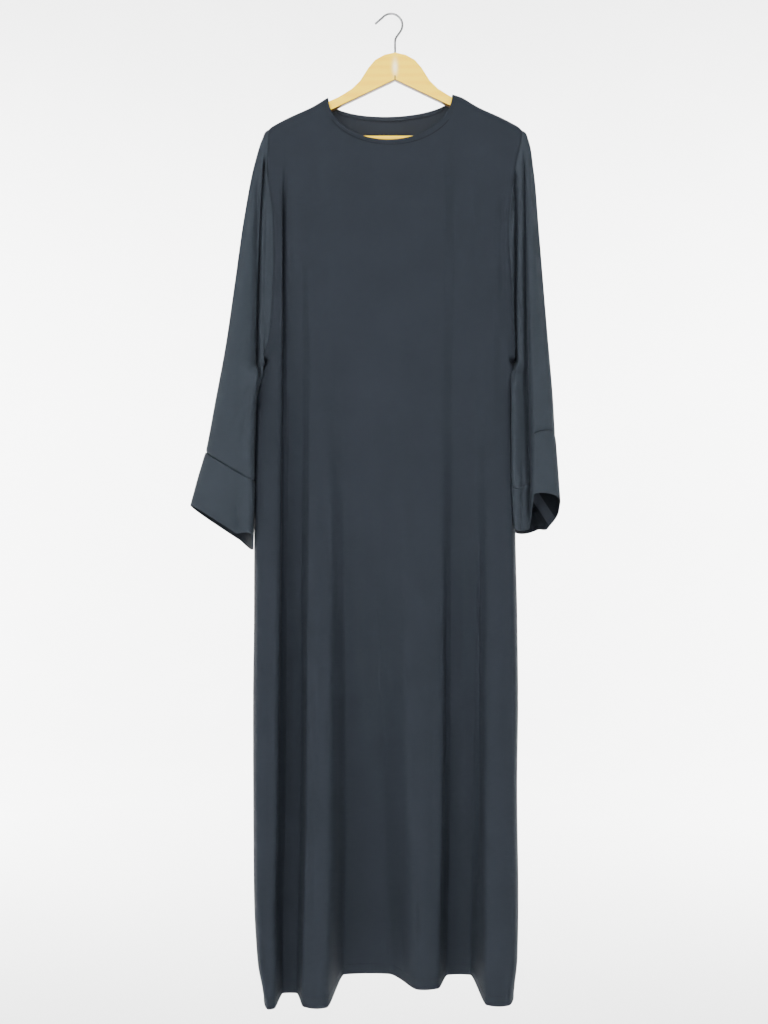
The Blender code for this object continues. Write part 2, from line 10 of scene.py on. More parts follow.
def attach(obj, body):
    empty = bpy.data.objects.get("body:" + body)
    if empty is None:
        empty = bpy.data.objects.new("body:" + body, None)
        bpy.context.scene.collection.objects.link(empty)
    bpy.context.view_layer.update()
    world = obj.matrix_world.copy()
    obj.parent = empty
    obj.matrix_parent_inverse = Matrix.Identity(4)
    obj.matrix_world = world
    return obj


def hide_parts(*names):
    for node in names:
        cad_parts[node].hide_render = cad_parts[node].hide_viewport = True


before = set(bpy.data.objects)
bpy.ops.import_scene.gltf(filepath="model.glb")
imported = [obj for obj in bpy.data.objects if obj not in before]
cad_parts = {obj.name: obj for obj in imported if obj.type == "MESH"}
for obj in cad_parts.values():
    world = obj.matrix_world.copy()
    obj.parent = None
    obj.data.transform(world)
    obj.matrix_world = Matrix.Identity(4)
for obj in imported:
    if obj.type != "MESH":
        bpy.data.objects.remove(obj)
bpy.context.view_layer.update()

# Looks of a long closed abaya on a wooden hanger. Lengths are in millimetres until they are
# handed to Blender, X runs right as the front is looked at and Y runs away from the looker.
MM = 0.001
TINY = 1e-6

# Cloth
SHELL = 0.9
CUFF_SHELL = 1.4
FACING_SHELL = 0.8
FACING_START = 1.0
FACING_WIDTH = 6.5
FACING_INSET = 1.6
FACING_ROWS = 5
SEAM_GAP = 0.3
SEAM_DIP = 1.0
CUFF_SEAM_DIP = 2.0
SEAM_DIP_WIDTH = 2.6
SEAM_DIP_EASE = 6.0
ROW_STEP = 4.0
COLUMN_STEPS = 4
SLEEVE_COLUMN_STEPS = 5
SLEEVE_ROWS = 170
LEAD_ROWS = 3
CUFF_ROWS = 40
SEAM_RING = 8
CUFF_LAP = 0.5
CUFF_LAP_WIDTH = 4.0
CUFF_DEPTH = 80.0

# The garment's main heights and the line of the shoulders
CENTRE_X = 6.4
NECK_CENTRE_X = -1.2
NECK_HALF_WIDTH = 99.0
FRONT_NECK_DEPTH = 74.2
BACK_NECK_DEPTH = 27.5
UNDERARM_Z = -554.0
YOKE_Z = -262.0
HEM_Z = -1562.0
RIDGE_RADIUS = 9.0
RIDGE_HALF_GAP = 0.5
RIDGE_DROP = 6.0
RIDGE_SLOPE = 0.5
SIDE_RADIUS = 12.0
ARMHOLE_REACH = 36.0
UNDERARM_RADIUS = 4.0
UNDERARM_EASE = 30.0
UNDERARM_BLEND = 14.0
UNDERARM_NARROWING = 160.0
LEAD = 3.0
WALL = 1.6
HEM_RISE_PER_DEPTH = 0.1
HEM_RISE_START_Z = -1266.0
HEM_LOWEST_DEPTH = -62.0
RIDGE_DISTANCE = (0.0, 60.0, 92.0, 107.0, 120.0, 134.0, 166.0, 180.0, 197.0, 206.0)
RIDGE_HEIGHT = (-112.0, -119.0, -128.5, -133.6, -141.5, -149.5, -164.0, -171.0, -180.5, -188.0)
ARMHOLE_DEPTH = {-1: 19.0, 1: 22.0}

# Line: heights, and the place of a seam or an edge at each of them
Line = namedtuple("Line", "heights places")
ARMHOLE_X = {
    "left": Line(
        (-184, -249, -330, -386, -454, -518, -554),
        (-195, -196, -187, -186, -188, -193, -202),
    ),
    "right": Line((-184, -249, -354, -414, -480, -554), (209, 197, 186, 190, 193, 196)),
}
SIDE_X = {
    "left": Line(
        (-554, -574, -603, -669, -747, -838, -960, -1080, -1266, -1400, -1500, -1562),
        (-202, -210, -215.5, -218.5, -219.5, -219, -219, -220, -219, -217, -211, -201),
    ),
    "right": Line(
        (-554, -572, -603, -669, -747, -838, -960, -1090, -1240, -1390, -1500, -1562),
        (196, 198.5, 198, 198, 198.5, 199.5, 202, 203, 201, 202, 200, 194),
    ),
}
SIDE_Y = Line((-554, -603, -747, -872, -1266, -1562), (0, 8, 13, 12, 3, -14))

# Folds: depth Y at the stations, bulge, X of the right-hand edge, softness, columns
STATIONS = (-330.0, -554.0, -872.0, -1266.0, -1562.0)
Fold = namedtuple("Fold", "name depth bulge edge soft columns")
FRONT_FOLDS = (
    Fold("side crest", (-20, -22, -33, -48, -56), -8, (-167, -166, -169, -172, -176), 4.5, 1),
    Fold("deep valley", (-19.5, -10, -4, -6, -18), 2, (-137, -134, -136, -138, -143), 7, 1),
    Fold("broad crest", (-20, -23, -30, -44, -51), -11, (-99, -92, -84, -84, -88), 12, 2),
    Fold("middle valley", (-21, -22, -16, 10, 38), 5, (-10, -5, 0, 8, 20), 24, 2),
    Fold("middle crest", (-21, -23, -25, -15, 1), -9, (93, 90, 88, 87, 84), 9, 2),
    Fold("right valley", (-20, -20, -12, 10, 36), 4, (137, 141, 142, 140, 139), 9, 1),
    Fold("right crest", (-19, -21, -30, -40, -46), -10, None, None, 1),
)
BACK_FOLDS = (
    Fold("side crest", (23, 24, 28, 28, 22), 2, (-160, -158, -160, -162, -166), 8, 1),
    Fold("deep valley", (25, 29, 36, 42, 44), 4, (-134, -130, -130, -130, -133), 8, 1),
    Fold("broad crest", (26, 28, 24, 16, 6), -3, (-99, -96, -92, -90, -90), 10, 2),
    Fold("middle valley", (26, 31, 42, 56, 66), 4, (-6, 0, 6, 14, 20), 24, 2),
    Fold("middle crest", (26, 30, 34, 36, 30), -3, (93, 90, 86, 83, 78), 10, 2),
    Fold("right valley", (25, 29, 40, 54, 64), 4, (138, 140, 144, 144, 142), 9, 1),
    Fold("right crest", (22, 24, 27, 26, 20), 2, None, None, 1),
)

# Columns and rows of the panels: shares of a side's turn and of a fold's softness, rows of the
# yoke with the steps between them, the neck's corner and the armhole's levels
SIDE_PARTS = (0.0, 0.12, 0.42, 1.0)
FOLD_PARTS = (-1.0, -0.35, 0.35, 1.0)
YOKE_ROWS = (0.0, 0.02, 0.07, 0.17, 0.42, 0.7, 1.0)
YOKE_STEPS = (2, 3, 3, 6, 6, 7)
NECK_START_ROW = 2
NECK_CORNER_DROP = 9.0
NECK_CORNER_SHARES = (0.0, 0.3, 1.0)
ARMHOLE_LEVELS = (-330, -400, -470, -520, -541, -554)

# Sleeve rings: outer and inner points, the middle's Y, half the depth, how much higher the
# front is
Ring = namedtuple("Ring", "name outer_x outer_z inner_x inner_z middle_y half_depth front_lift")
SLEEVE_RINGS = {
    "left": (
        Ring("cap", -205, -199, -201.5, -559, 1, 23, 0),
        Ring("shoulder", -217, -238, -205.5, -567, 0, 26, 0),
        Ring("upper arm", -233.5, -325, -210.8, -582, -3, 28, 0),
        Ring("mid arm", -247.5, -428, -214.2, -604, -7, 30, 0),
        Ring("elbow", -262, -530, -216, -640, -9, 32, 0),
        Ring("forearm", -278.5, -620, -217.3, -690, -10, 34, 0),
        Ring("cuff seam", -294, -701, -218, -746, -10, 36, 0),
        Ring("cuff middle", -306, -743, -218.5, -799, -10, 34, 3),
        Ring("cuff edge", -317.5, -786, -219.5, -851, -10, 31, 7),
    ),
    "right": (
        Ring("cap", 219, -201, 198.5, -559, 1, 23, 0),
        Ring("shoulder", 227, -250, 199, -567, 0, 26, 3),
        Ring("upper arm", 234.5, -340, 198.2, -582, -3, 28, 7),
        Ring("mid arm", 242, -440, 197, -604, -7, 30, 12),
        Ring("elbow", 249.5, -535, 196.4, -640, -9, 30, 20),
        Ring("forearm", 256, -615, 196.2, -692, -10, 31, 29),
        Ring("cuff seam", 260, -684, 196.8, -747, -10, 32, 36),
        Ring("cuff middle", 264, -733, 198.5, -780, -9, 32, 33),
        Ring("cuff edge", 268, -784, 200, -814, -8, 31, 27),
    ),
}
SLEEVE_RING_COUNT = 7
OVAL_BLUNTNESS = 0.36

# The left sleeve has a groove down its front: heights and X, its depth and half width
GROOVE = Line((-240, -400, -560), (-211, -212, -212))
GROOVE_DEPTH = 9.0
GROOVE_HALF_WIDTH = 5.0
GROOVE_FADE = 60.0

# The right sleeve's front is a flap that is turned back along a line. Inside the line the cloth
# lies deeper, more so from ring to ring, and isn't lifted as the flap is
FLAP = Line((-200, -450, -770), (212.5, 214.5, 221))
FLAP_STEP = 15.0
FLAP_TURN = 6.0
FLAP_FULL_Z = -480.0
FLAP_GAIN = 1.6
STRIP_DROP = 1.45

# The right flap is lifted more towards its fold, less towards its outer edge. The corner of its
# back hangs lower
LIFT_EVEN_AT = 0.25
BACK_CORNER_X = 238.0
BACK_CORNER_WIDTH = 14.0
BACK_CORNER_START_Z = -770.0
BACK_CORNER_FULL = 30.0
BACK_CORNER_DROP = 9.0

# Creases laid on each face: points of (X, Z) along it, half width, depth into the
# garment (a ridge is below 0), the length over which each end fades, how far its bottom leans
# along X, and whether it lies on the left of its path alone
Crease = namedtuple("Crease", "path half_width depth fade lean one_sided", defaults=(0.0, False))
ONE_SIDED_TURN = 7.0
FRONT_CREASES = (
    # The dark foot of the left side fold, which leans under it
    Crease(
        ((-168, -240), (-168, -554), (-170, -872), (-173, -1266), (-176.5, -1512)),
        3.2, 13.0, 110, -3.6,
    ),
    # The feet of the other folds
    Crease(((-86, -820), (-86, -1100), (-88, -1266), (-90, -1545)), 2.6, 3.0, 200, 0.8),
    Crease(((88, -820), (88, -1100), (86, -1266), (83, -1545)), 2.6, 3.0, 200, -0.8),
    Crease(((140, -800), (140, -1266), (138, -1545)), 2.6, 6.0, 160, 0.8),
    # The floor of the deep valley rises to the right
    Crease(
        ((-136, -440), (-134, -554), (-136, -872), (-138, -1266), (-143, -1561)),
        16.0, -7.0, 160, 0.0, True,
    ),
    # So does the floor of the right valley
    Crease(((138, -700), (139, -872), (137, -1266), (136, -1561)), 17.0, -6.0, 200, 0.0, True),
    # Pulls below the left underarm
    Crease(((-195, -545), (-203, -572), (-213, -616)), 1.9, 4.4, 12),
    Crease(((-191, -556), (-200, -588), (-211, -640)), 2.1, 3.4, 16),
    Crease(((-187, -570), (-197, -612), (-206, -664)), 2.6, 2.2, 20),
    Crease(((-203, -560), (-209, -590)), 2.4, -1.6, 12),
    # The side line below the left underarm
    Crease(((-202, -616), (-205, -712), (-207.5, -830)), 2.2, 2.4, 50),
    # The side edge below the right underarm turns back sharply
    Crease(((193, -574), (193.5, -690), (195, -806)), 2.4, 10.0, 34, 1.0),
    # Pulls beside both armholes
    Crease(((-178, -300), (-175, -400), (-181, -520)), 5.0, 1.6, 60),
    Crease(((-164, -230), (-157, -330), (-152, -470)), 9.0, 1.4, 70),
    Crease(((179, -280), (174, -360), (178, -470)), 3.6, 2.2, 40),
    Crease(((186, -300), (180, -350), (181, -402)), 2.4, 1.6, 24),
    Crease(((168, -410), (172, -520), (170, -640)), 7.0, 1.6, 70),
    # Drape of the chest from both shoulders
    Crease(((-120, -190), (-96, -330), (-84, -520)), 16.0, 1.3, 90),
    Crease(((116, -185), (104, -300), (96, -450)), 18.0, 1.2, 80),
    Crease(((-30, -290), (-22, -460), (-26, -640)), 22.0, -1.0, 120),
    Crease(((40, -360), (52, -560), (50, -760)), 20.0, 1.1, 120),
    # Ridge down the left side crest, and faint lines on the crests
    Crease(((-205, -840), (-207, -1060), (-206, -1300), (-198, -1530)), 2.6, -1.6, 60),
    Crease(((-192, -900), (-190, -1150), (-188, -1420)), 5.0, 1.0, 120),
    Crease(((-121, -980), (-123, -1210), (-127, -1480)), 4.0, 1.8, 120),
    Crease(((-106, -700), (-104, -900), (-108, -1130)), 6.0, 1.2, 90),
    Crease(((-70, -1120), (-73, -1280), (-72, -1450)), 5.0, -1.3, 80),
    Crease(((-48, -760), (-46, -980), (-44, -1190)), 12.0, 1.6, 120),
    Crease(((46, -1330), (45, -1430), (44, -1520)), 4.0, 1.6, 50),
    Crease(((64, -1080), (66, -1250), (68, -1410)), 6.0, 1.4, 90),
    Crease(((115, -820), (117, -1000), (113, -1230)), 8.0, 1.8, 110),
    Crease(((155, -1010), (157, -1220), (156, -1440)), 5.0, -1.2, 110),
    Crease(((181, -760), (182, -1010), (180, -1300)), 6.0, 1.4, 130),
)
BACK_CREASES = (
    Crease(((-196, -552), (-188, -596), (-180, -660)), 3.0, 2.0, 18),
    Crease(((192, -556), (184, -610), (178, -690)), 3.4, 2.0, 20),
    Crease(((-172, -290), (-166, -400), (-170, -520)), 7.0, 1.8, 60),
    Crease(((170, -270), (164, -380), (168, -500)), 6.0, 1.8, 60),
    Crease(((-110, -190), (-88, -340), (-80, -560)), 18.0, 1.8, 90),
    Crease(((112, -180), (92, -330), (84, -540)), 17.0, 1.6, 90),
    Crease(((0, -230), (6, -420), (2, -640)), 26.0, 1.6, 120),
    Crease(((-186, -820), (-188, -1090), (-182, -1400)), 6.0, 1.6, 120),
    Crease(((-116, -900), (-114, -1160), (-118, -1430)), 7.0, -1.6, 110),
    Crease(((-50, -740), (-52, -1010), (-46, -1290)), 12.0, 2.0, 120),
    Crease(((30, -880), (34, -1130), (30, -1410)), 9.0, 1.6, 120),
    Crease(((62, -1200), (60, -1340), (58, -1500)), 5.0, -1.8, 70),
    Crease(((118, -800), (120, -1040), (116, -1330)), 8.0, 2.0, 120),
    Crease(((176, -900), (178, -1160), (174, -1440)), 6.0, 1.6, 120),
)
SLEEVE_CREASES = {
    ("left", -1): (
        # The dark line down the sleeve, where its outer part hangs over its inner strip
        Crease(
            ((-199.5, -228), (-205, -330), (-209.5, -454), (-211.5, -530), (-213, -612)),
            1.9, 12.0, 22, -2.4,
        ),
        Crease(((-197, -270), (-199, -400), (-203, -540)), 3.0, 1.4, 40),
        Crease(((-212, -566), (-228, -610), (-252, -668)), 5.0, 1.5, 36),
        Crease(((-214, -590), (-226, -640), (-240, -700)), 4.0, 1.3, 30),
        Crease(((-214, -240), (-226, -360), (-240, -480)), 9.0, 1.6, 70),
        Crease(((-248, -500), (-258, -590), (-268, -680)), 7.0, -1.2, 60),
        Crease(((-241, -776), (-239, -806), (-238, -838)), 4.0, 3.0, 20),
    ),
    ("left", 1): (
        Crease(((-208, -300), (-216, -430), (-224, -560)), 6.0, 2.2, 60),
        Crease(((-212, -570), (-234, -620), (-262, -660)), 5.0, 2.0, 36),
        Crease(((-226, -300), (-240, -430), (-256, -560)), 8.0, 2.0, 70),
        Crease(((-262, -640), (-270, -720), (-282, -780)), 6.0, -1.6, 40),
    ),
    ("right", -1): (
        # The dark line beside the armhole, with two small pulls
        Crease(
            ((195.5, -250), (198.5, -344), (196.5, -454), (198, -545), (199, -600)),
            2.3, 13.0, 26, 1.6,
        ),
        Crease(((190, -352), (194, -300), (197, -262)), 2.0, 3.0, 16),
        Crease(((193, -396), (196, -350), (200, -306)), 2.4, 2.4, 18),
        # The foot of the flap, which leans under it
        Crease(
            ((210, -212), (211, -330), (211.5, -450), (214.5, -600), (217.5, -740), (218.5, -830)),
            2.2, 9.0, 50, 3.0,
        ),
        # The upright crease of the inner strip
        Crease(((208, -690), (208.5, -760), (208, -838)), 1.7, 5.0, 20),
        Crease(((232, -300), (238, -420), (243, -560)), 5.0, 1.4, 70),
        Crease(((246, -520), (250, -600), (252, -680)), 5.0, -1.0, 50),
    ),
    ("right", 1): (
        Crease(((206, -290), (214, -430), (220, -580)), 6.0, 2.2, 60),
        Crease(((204, -572), (222, -640), (240, -720)), 5.0, 2.0, 40),
        Crease(((226, -320), (234, -470), (242, -620)), 8.0, 2.0, 70),
        Crease(((232, -700), (236, -760), (240, -810)), 5.0, -1.8, 30),
        # The turned edge that shows in the mouth of the cuff
        Crease(((229, -756), (241, -786), (256, -812)), 6.5, 14.0, 8),
    ),
}
# The sleeves' inner edges lie forward and aside, against the front of the body: how far, how wide
# the strip is that follows, and the height at which it starts
LIP_FORWARD = 17.0
LIP_ASIDE = {"left": 2.5, "right": -6.5}
LIP_ASIDE_AT_EDGE = {"left": 0.6, "right": 0.9}
LIP_SQUEEZE = 9.0
LIP_REACH = 12.0
LIP_START_Z = -552.0
LIP_FULL = 24.0
LIP_EXTRA = {"left": 5.0, "right": -2.5}
LIP_EXTRA_Z = -580.0
LIP_EXTRA_HALF_HEIGHT = 20.0
LIP_FADE_Z = -765.0
LIP_FADE = 50.0

# The left cuff's inner corner is turned up, so its inside shows: where, and how far
CORNER_X = -243.0
CORNER_WIDTH = 20.0
CORNER_START_Z = -808.0
CORNER_FULL = 34.0
CORNER_RISE = 18.0
CORNER_DROP = 6.0
CORNER_SPREAD = 3.0

# Stitches
NECK_STITCH_INSET = 8.0
STITCH_LENGTH = 2.7
STITCH_PITCH = 3.6
STITCH_RADIUS = 0.34
STITCH_SIDES = 6
NECK_PATH_START = 9.0
NECK_PATH_POINTS = 160
HEM_STITCH_RISE = 14.0
HEM_ROWS_UP = round(HEM_STITCH_RISE / ROW_STEP)
# Each stitch's rings: place along it, size, and height over the cloth in radii
STITCH_PROFILE = ((-0.5, 0.35, -0.2), (-0.3, 1.0, 0.55), (0.3, 1.0, 0.55), (0.5, 0.35, -0.2))

# Hanger
V_APEX_Z = -105.6

# Camera before the middle of the garment, metres
CAMERA_PLACE = (-0.0112, -1.75, -0.7952)
CAMERA_LENS = 38.46
CAMERA_SENSOR = 36.0
CAMERA_NEAR = 0.05
CAMERA_FAR = 30.0

# Room: a pale bowl far round the garment, metres
ROOM_RADIUS = 5.5
ROOM_FLOOR_Z = -1.95
ROOM_CORNER = 1.8
ROOM_HEIGHT = 5.0
ROOM_SIDES = 64
ROOM_FLAT_STEPS = 4
ROOM_CORNER_STEPS = 12

# Tones and lights
CREPE_COLOUR = (0.0150, 0.0182, 0.0238)
CREPE_DARK = (0.0118, 0.0145, 0.0192)
CREPE_INSIDE = (0.0195, 0.0225, 0.0285)
# Painted shade inside the cuffs: the crepe painted far darker, as the inside lies in shade
INSIDE_CUFF_SHADE = (0.0070, 0.0085, 0.0115)
INSIDE_CUFF_SHADE_DARK = (0.0050, 0.0062, 0.0085)
SEAM_SHADOW = (0.0055, 0.0065, 0.0090)
# Painted light: the sleeves are the body's crepe painted lighter, for the light they catch from the
# sides
SLEEVE_LIT_COLOUR = (0.0215, 0.0265, 0.0330)
SLEEVE_LIT_DARK = (0.0170, 0.0210, 0.0265)
THREAD_DARK = (0.0050, 0.0060, 0.0085)
THREAD_PALE = (0.0100, 0.0120, 0.0160)
WOOD_PALE = (0.96, 0.62, 0.004)
WOOD_DARK = (0.93, 0.56, 0.003)
# Painted shade for the faces under the hanger
WOOD_SHADE = (0.10, 0.055, 0.022)
# Painted highlight at the middle of the hanger's front
WOOD_GLINT = (1.0, 0.86, 0.55)
WOOD_JOINT = (0.05, 0.022, 0.008)
WOOD_RAMP = ((0.1, WOOD_DARK), (0.75, WOOD_PALE))
CHROME_DARK = (0.02, 0.02, 0.022)
CHROME_PALE = (0.3, 0.3, 0.31)
ROOM_GREY = (0.8, 0.8, 0.795)
ROOM_PALE = (0.86, 0.86, 0.855)
SKY_COLOUR = (0.96, 0.98, 1.0)
WORLD_STRENGTH = 1.5
LIGHTS = (
    ("key", (-1.9, -3.0, 0.5), (0.0, 0.0, -0.8), 2.2, 80.0),
    ("front", (-0.4, -4.0, -1.1), (0.0, 0.0, -0.95), 2.6, 98.0),
    ("top", (0.0, -0.4, 2.2), (0.0, 0.2, -0.8), 2.4, 30.0),
    ("wall left", (-2.7, 1.7, 0.3), (-0.7, 5.4, -0.7), 2.0, 700.0),
    ("wall right", (2.7, 1.7, 0.3), (0.7, 5.4, -0.7), 2.0, 700.0),
)

# Marks in the looks, millimetres: the painted shadow line at the neck's seam (a share of the neck's
# size), the band in the right cuff's mouth, the painted glint and the joint on the front of the hanger
NECK_SHADOW_SHARE = 0.0065
NECK_SHADOW_TOP_Z = -172.0
BAND_START = (233.0, -768.0)
BAND_END = (258.0, -808.0)
BAND_HALF_WIDTH = 7.5
GLINT_Z = -86.0
GLINT_HALF_WIDTH = 4.2
GLINT_HALF_HEIGHT = 12.0
JOINT_HALF_WIDTH = 0.9
JOINT_LENGTH = 6.5

# Textures: the inputs of each noise, band and bump
CREPE_WAVE = {"Distortion": 1.2, "Detail": 1.0, "Detail Scale": 2.0}
CREPE_THREADS = (("X", {"Scale": 520.0, **CREPE_WAVE}), ("Y", {"Scale": 470.0, **CREPE_WAVE}))
CREPE_GRAIN = {"Scale": 900.0, "Detail": 3.0}
CREPE_NAP = {"Scale": 14.0, "Detail": 4.0}
CREPE_BUMP = {"Strength": 0.35, "Distance": 0.00025}
THREAD_TWIST = {"Scale": 900.0, "Distortion": 0.6}
THREAD_BUMP = {"Strength": 0.5, "Distance": 0.0001}
WOOD_RINGS = {"Scale": 1.1, "Distortion": 9.0, "Detail": 4.0, "Detail Scale": 0.5}
WOOD_RING_STRETCH = (1.2, 14.0, 20.0)
WOOD_FIBRE = {"Scale": 7.0, "Detail": 6.0, "Roughness": 0.65}
WOOD_FIBRE_STRETCH = (4.0, 60.0, 60.0)
WOOD_BUMP = {"Strength": 0.12, "Distance": 0.0003}
DRAW_MARKS = {"Scale": 260.0, "Detail": 5.0}
ROOM_CLOUDS = {"Scale": 2.0}

# How much the threads, the grain and the fibre count, where a face is the wrong side, and where a face
# is under and the wood is painted in shade
THREAD_SHARE = 0.25
GRAIN_HEIGHT = 0.8
FIBRE_SHARE = 0.12
WRONG_SIDE_LIMIT = -0.2
UNDER_SHADE_LIMIT = -0.35

# Roughness, from and to where it varies, and gloss
CREPE_ROUGHNESS = (0.74, 0.9)
CREPE_GLOSS = 0.08
THREAD_ROUGHNESS = 0.7
THREAD_GLOSS = 0.1
WOOD_ROUGHNESS = (0.26, 0.42)
WOOD_GLOSS = 0.15
VARNISH_WEIGHT = 0.1
VARNISH_ROUGHNESS = 0.12
CHROME_ROUGHNESS = (0.1, 0.26)
ROOM_ROUGHNESS = 0.9


def smooth(part):
    """Runs from 0 to 1 and is level at both ends."""
    part = np.clip(part, 0.0, 1.0)
    return part * part * (3.0 - 2.0 * part)


def rounded(part):
    """Runs from 0 to 1 as a quarter of a circle does."""
    part = np.clip(part, 0.0, 1.0)
    return np.sqrt(1.0 - (1.0 - part) ** 2)


def curved(start, end, slopes, part):
    """A cubic from one value to the next, with the slopes at its ends for the whole way."""
    rest = 1.0 - part
    return (
        start * rest * rest * (1 + 2 * part)
        + end * part * part * (3 - 2 * part)
        + slopes[0] * part * rest * rest
        - slopes[1] * part * part * rest
    )


def between(height, heights, values):
    """Reads a table smoothly: a cubic through its rows, level past both ends."""
    if height >= heights[0]:
        return float(values[0])
    if height <= heights[-1]:
        return float(values[-1])
    row = max(index for index in range(len(heights) - 1) if heights[index] >= height)
    span = heights[row + 1] - heights[row]

    def slope(index):
        if index in (0, len(heights) - 1):
            return 0.0
        before = (values[index] - values[index - 1]) / (heights[index] - heights[index - 1])
        after = (values[index + 1] - values[index]) / (heights[index + 1] - heights[index])
        if before * after <= 0.0:
            return 0.0
        return 2.0 * before * after / (before + after)

    slopes = (slope(row) * span, slope(row + 1) * span)
    return curved(values[row], values[row + 1], slopes, (height - heights[row]) / span)


def line_at(line, height):
    """The smooth place of a seam or an edge at one height."""
    return between(height, line.heights, line.places)


def ridge_z(x):
    """Height of the shoulder ridge, as if it ran on across the neck."""
    mirrored = tuple(-value for value in RIDGE_DISTANCE)
    return between(-abs(x - CENTRE_X), mirrored, RIDGE_HEIGHT)


def armhole_depth(height, side, face):
    """How far the armhole seam lies from the middle of the shoulder."""
    top = ridge_z(line_at(ARMHOLE_X[side], height))
    depth = RIDGE_RADIUS * rounded((top - height) / RIDGE_DROP)
    depth += (ARMHOLE_DEPTH[face] - RIDGE_RADIUS) * smooth((top - height) / (top - YOKE_Z))
    return float(face * depth * rounded((height - UNDERARM_Z) / UNDERARM_RADIUS))


def edge_point(height, side, face):
    """The panel's edge: the armhole seam above the underarm, the side seam below it."""
    inward = 1 if side == "left" else -1
    if height > UNDERARM_Z:
        x = line_at(ARMHOLE_X[side], height) + inward * SEAM_GAP / 2
        return x, armhole_depth(height, side, face) + face * SEAM_GAP / 2
    return line_at(SIDE_X[side], height), line_at(SIDE_Y, height) + face * SEAM_GAP / 2


def fold_edges(folds, height):
    """X of both side edges and of each fold's edge at one height."""
    left = edge_point(height, "left", -1)[0]
    right = edge_point(height, "right", -1)[0]
    return [left] + [between(height, STATIONS, fold.edge) for fold in folds[:-1]] + [right]


def fold_depths(folds, height, xs):
    """Depth Y of the folded panel along one row, away from its side edges."""
    edges = fold_edges(folds, height)
    swell = float(smooth((STATIONS[0] - height) / (STATIONS[0] - STATIONS[3])))
    total = np.zeros_like(xs)
    for index, fold in enumerate(folds):
        start, end = edges[index], edges[index + 1]
        across = np.clip((xs - (start + end) / 2) / ((end - start) / 2), -1.0, 1.0)
        depth = between(height, STATIONS, fold.depth) + fold.bulge * swell * (1 - across ** 2)
        weight = np.ones_like(xs)
        if index > 0:
            soft = folds[index - 1].soft
            weight *= smooth((xs - start + soft) / (2 * soft))
        if index < len(folds) - 1:
            weight *= 1.0 - smooth((xs - end + fold.soft) / (2 * fold.soft))
        total += weight * depth
    return total


def coarse_columns(folds, height):
    """X of each column of the solid's wall at one height."""
    edges = fold_edges(folds, height)
    columns = [edges[0] + SIDE_RADIUS * part for part in SIDE_PARTS]
    for index, fold in enumerate(folds):
        start = columns[-1]
        last = index == len(folds) - 1
        end = edges[-1] - SIDE_RADIUS if last else edges[index + 1] - fold.soft
        for step in range(fold.columns):
            columns.append(start + (end - start) * (step + 1) / (fold.columns + 1))
        if not last:
            columns += [edges[index + 1] + fold.soft * part for part in FOLD_PARTS]
    columns += [edges[-1] - SIDE_RADIUS * part for part in reversed(SIDE_PARTS)]
    return columns


def finer(values, steps):
    """Splits each interval of a list into equal steps."""
    values = np.asarray(values, float)
    places = np.linspace(0, len(values) - 1, (len(values) - 1) * steps + 1)
    return np.interp(places, np.arange(len(values)), values)


def panel_depths(folds, height, xs, face):
    """Depth Y along one row, with its edges turned towards the seams."""
    depth = fold_depths(folds, height, xs)
    for side in ("left", "right"):
        edge_x, edge_y = edge_point(height, side, face)
        distance = np.abs(xs - edge_x)
        narrow = float(smooth((UNDERARM_Z + UNDERARM_NARROWING - height) / UNDERARM_NARROWING))
        full = smooth(distance / (ARMHOLE_REACH + (SIDE_RADIUS - ARMHOLE_REACH) * narrow))
        below = smooth((UNDERARM_Z - height) / UNDERARM_BLEND)
        full = full + (rounded(distance / SIDE_RADIUS) - full) * below
        depth = edge_y + (depth - edge_y) * full
    return depth


def neck_level(x):
    """Height of the straight line between the two neck points."""
    part = (x - NECK_CENTRE_X) / NECK_HALF_WIDTH
    left = ridge_z(NECK_CENTRE_X - NECK_HALF_WIDTH)
    right = ridge_z(NECK_CENTRE_X + NECK_HALF_WIDTH)
    return left + (right - left) * (1.0 + part) / 2


def neck_columns(folds):
    """The two columns of the fine wall that run up to the neck points."""
    yoke = coarse_columns(folds, YOKE_Z)
    found = []
    for side in (-1, 1):
        target = NECK_CENTRE_X + side * NECK_HALF_WIDTH
        nearest = min(range(len(yoke)), key=lambda index: abs(yoke[index] - target))
        found.append(nearest * COLUMN_STEPS)
    return found


def yoke_row(folds, yoke, part, neck_depth):
    """X and Z of each column on one row of the yoke, or None inside the neck."""
    first, last = neck_columns(folds)
    start_part = YOKE_ROWS[NECK_START_ROW]
    points = []
    for index, yoke_x in enumerate(yoke):
        if first < index < last:
            if part < start_part - TINY:
                points.append(None)
                continue
            turn = math.asin(NECK_CORNER_DROP / neck_depth)
            turn += (math.pi - 2 * turn) * (index - first) / (last - first)
            top_x = NECK_CENTRE_X - NECK_HALF_WIDTH * math.cos(turn)
            top_z = neck_level(top_x) - neck_depth * math.sin(turn)
            down = (part - start_part) / (1 - start_part)
        else:
            side = -1 if index <= first else 1
            name = "left" if side < 0 else "right"
            edge, neck = (yoke[0], yoke[first]) if side < 0 else (yoke[-1], yoke[last])
            tip = edge_point(ridge_z(ARMHOLE_X[name].places[0]), name, -1)[0]
            neck_x = NECK_CENTRE_X + side * NECK_HALF_WIDTH
            top_x = tip + (neck_x - tip) * (yoke_x - edge) / (neck - edge)
            top_z = ridge_z(top_x)
            if index in (first, last) and part <= start_part + TINY:
                share = np.interp(part, YOKE_ROWS[: NECK_START_ROW + 1], NECK_CORNER_SHARES)
                below = NECK_CORNER_DROP * float(share)
                x = NECK_CENTRE_X + side * NECK_HALF_WIDTH * math.sqrt(1 - (below / neck_depth) ** 2)
                points.append((x, top_z - below))
                continue
            down = part
        x = top_x + (yoke_x - top_x) * float(smooth(down))
        points.append((x, top_z + (YOKE_Z - top_z) * down))
    return points


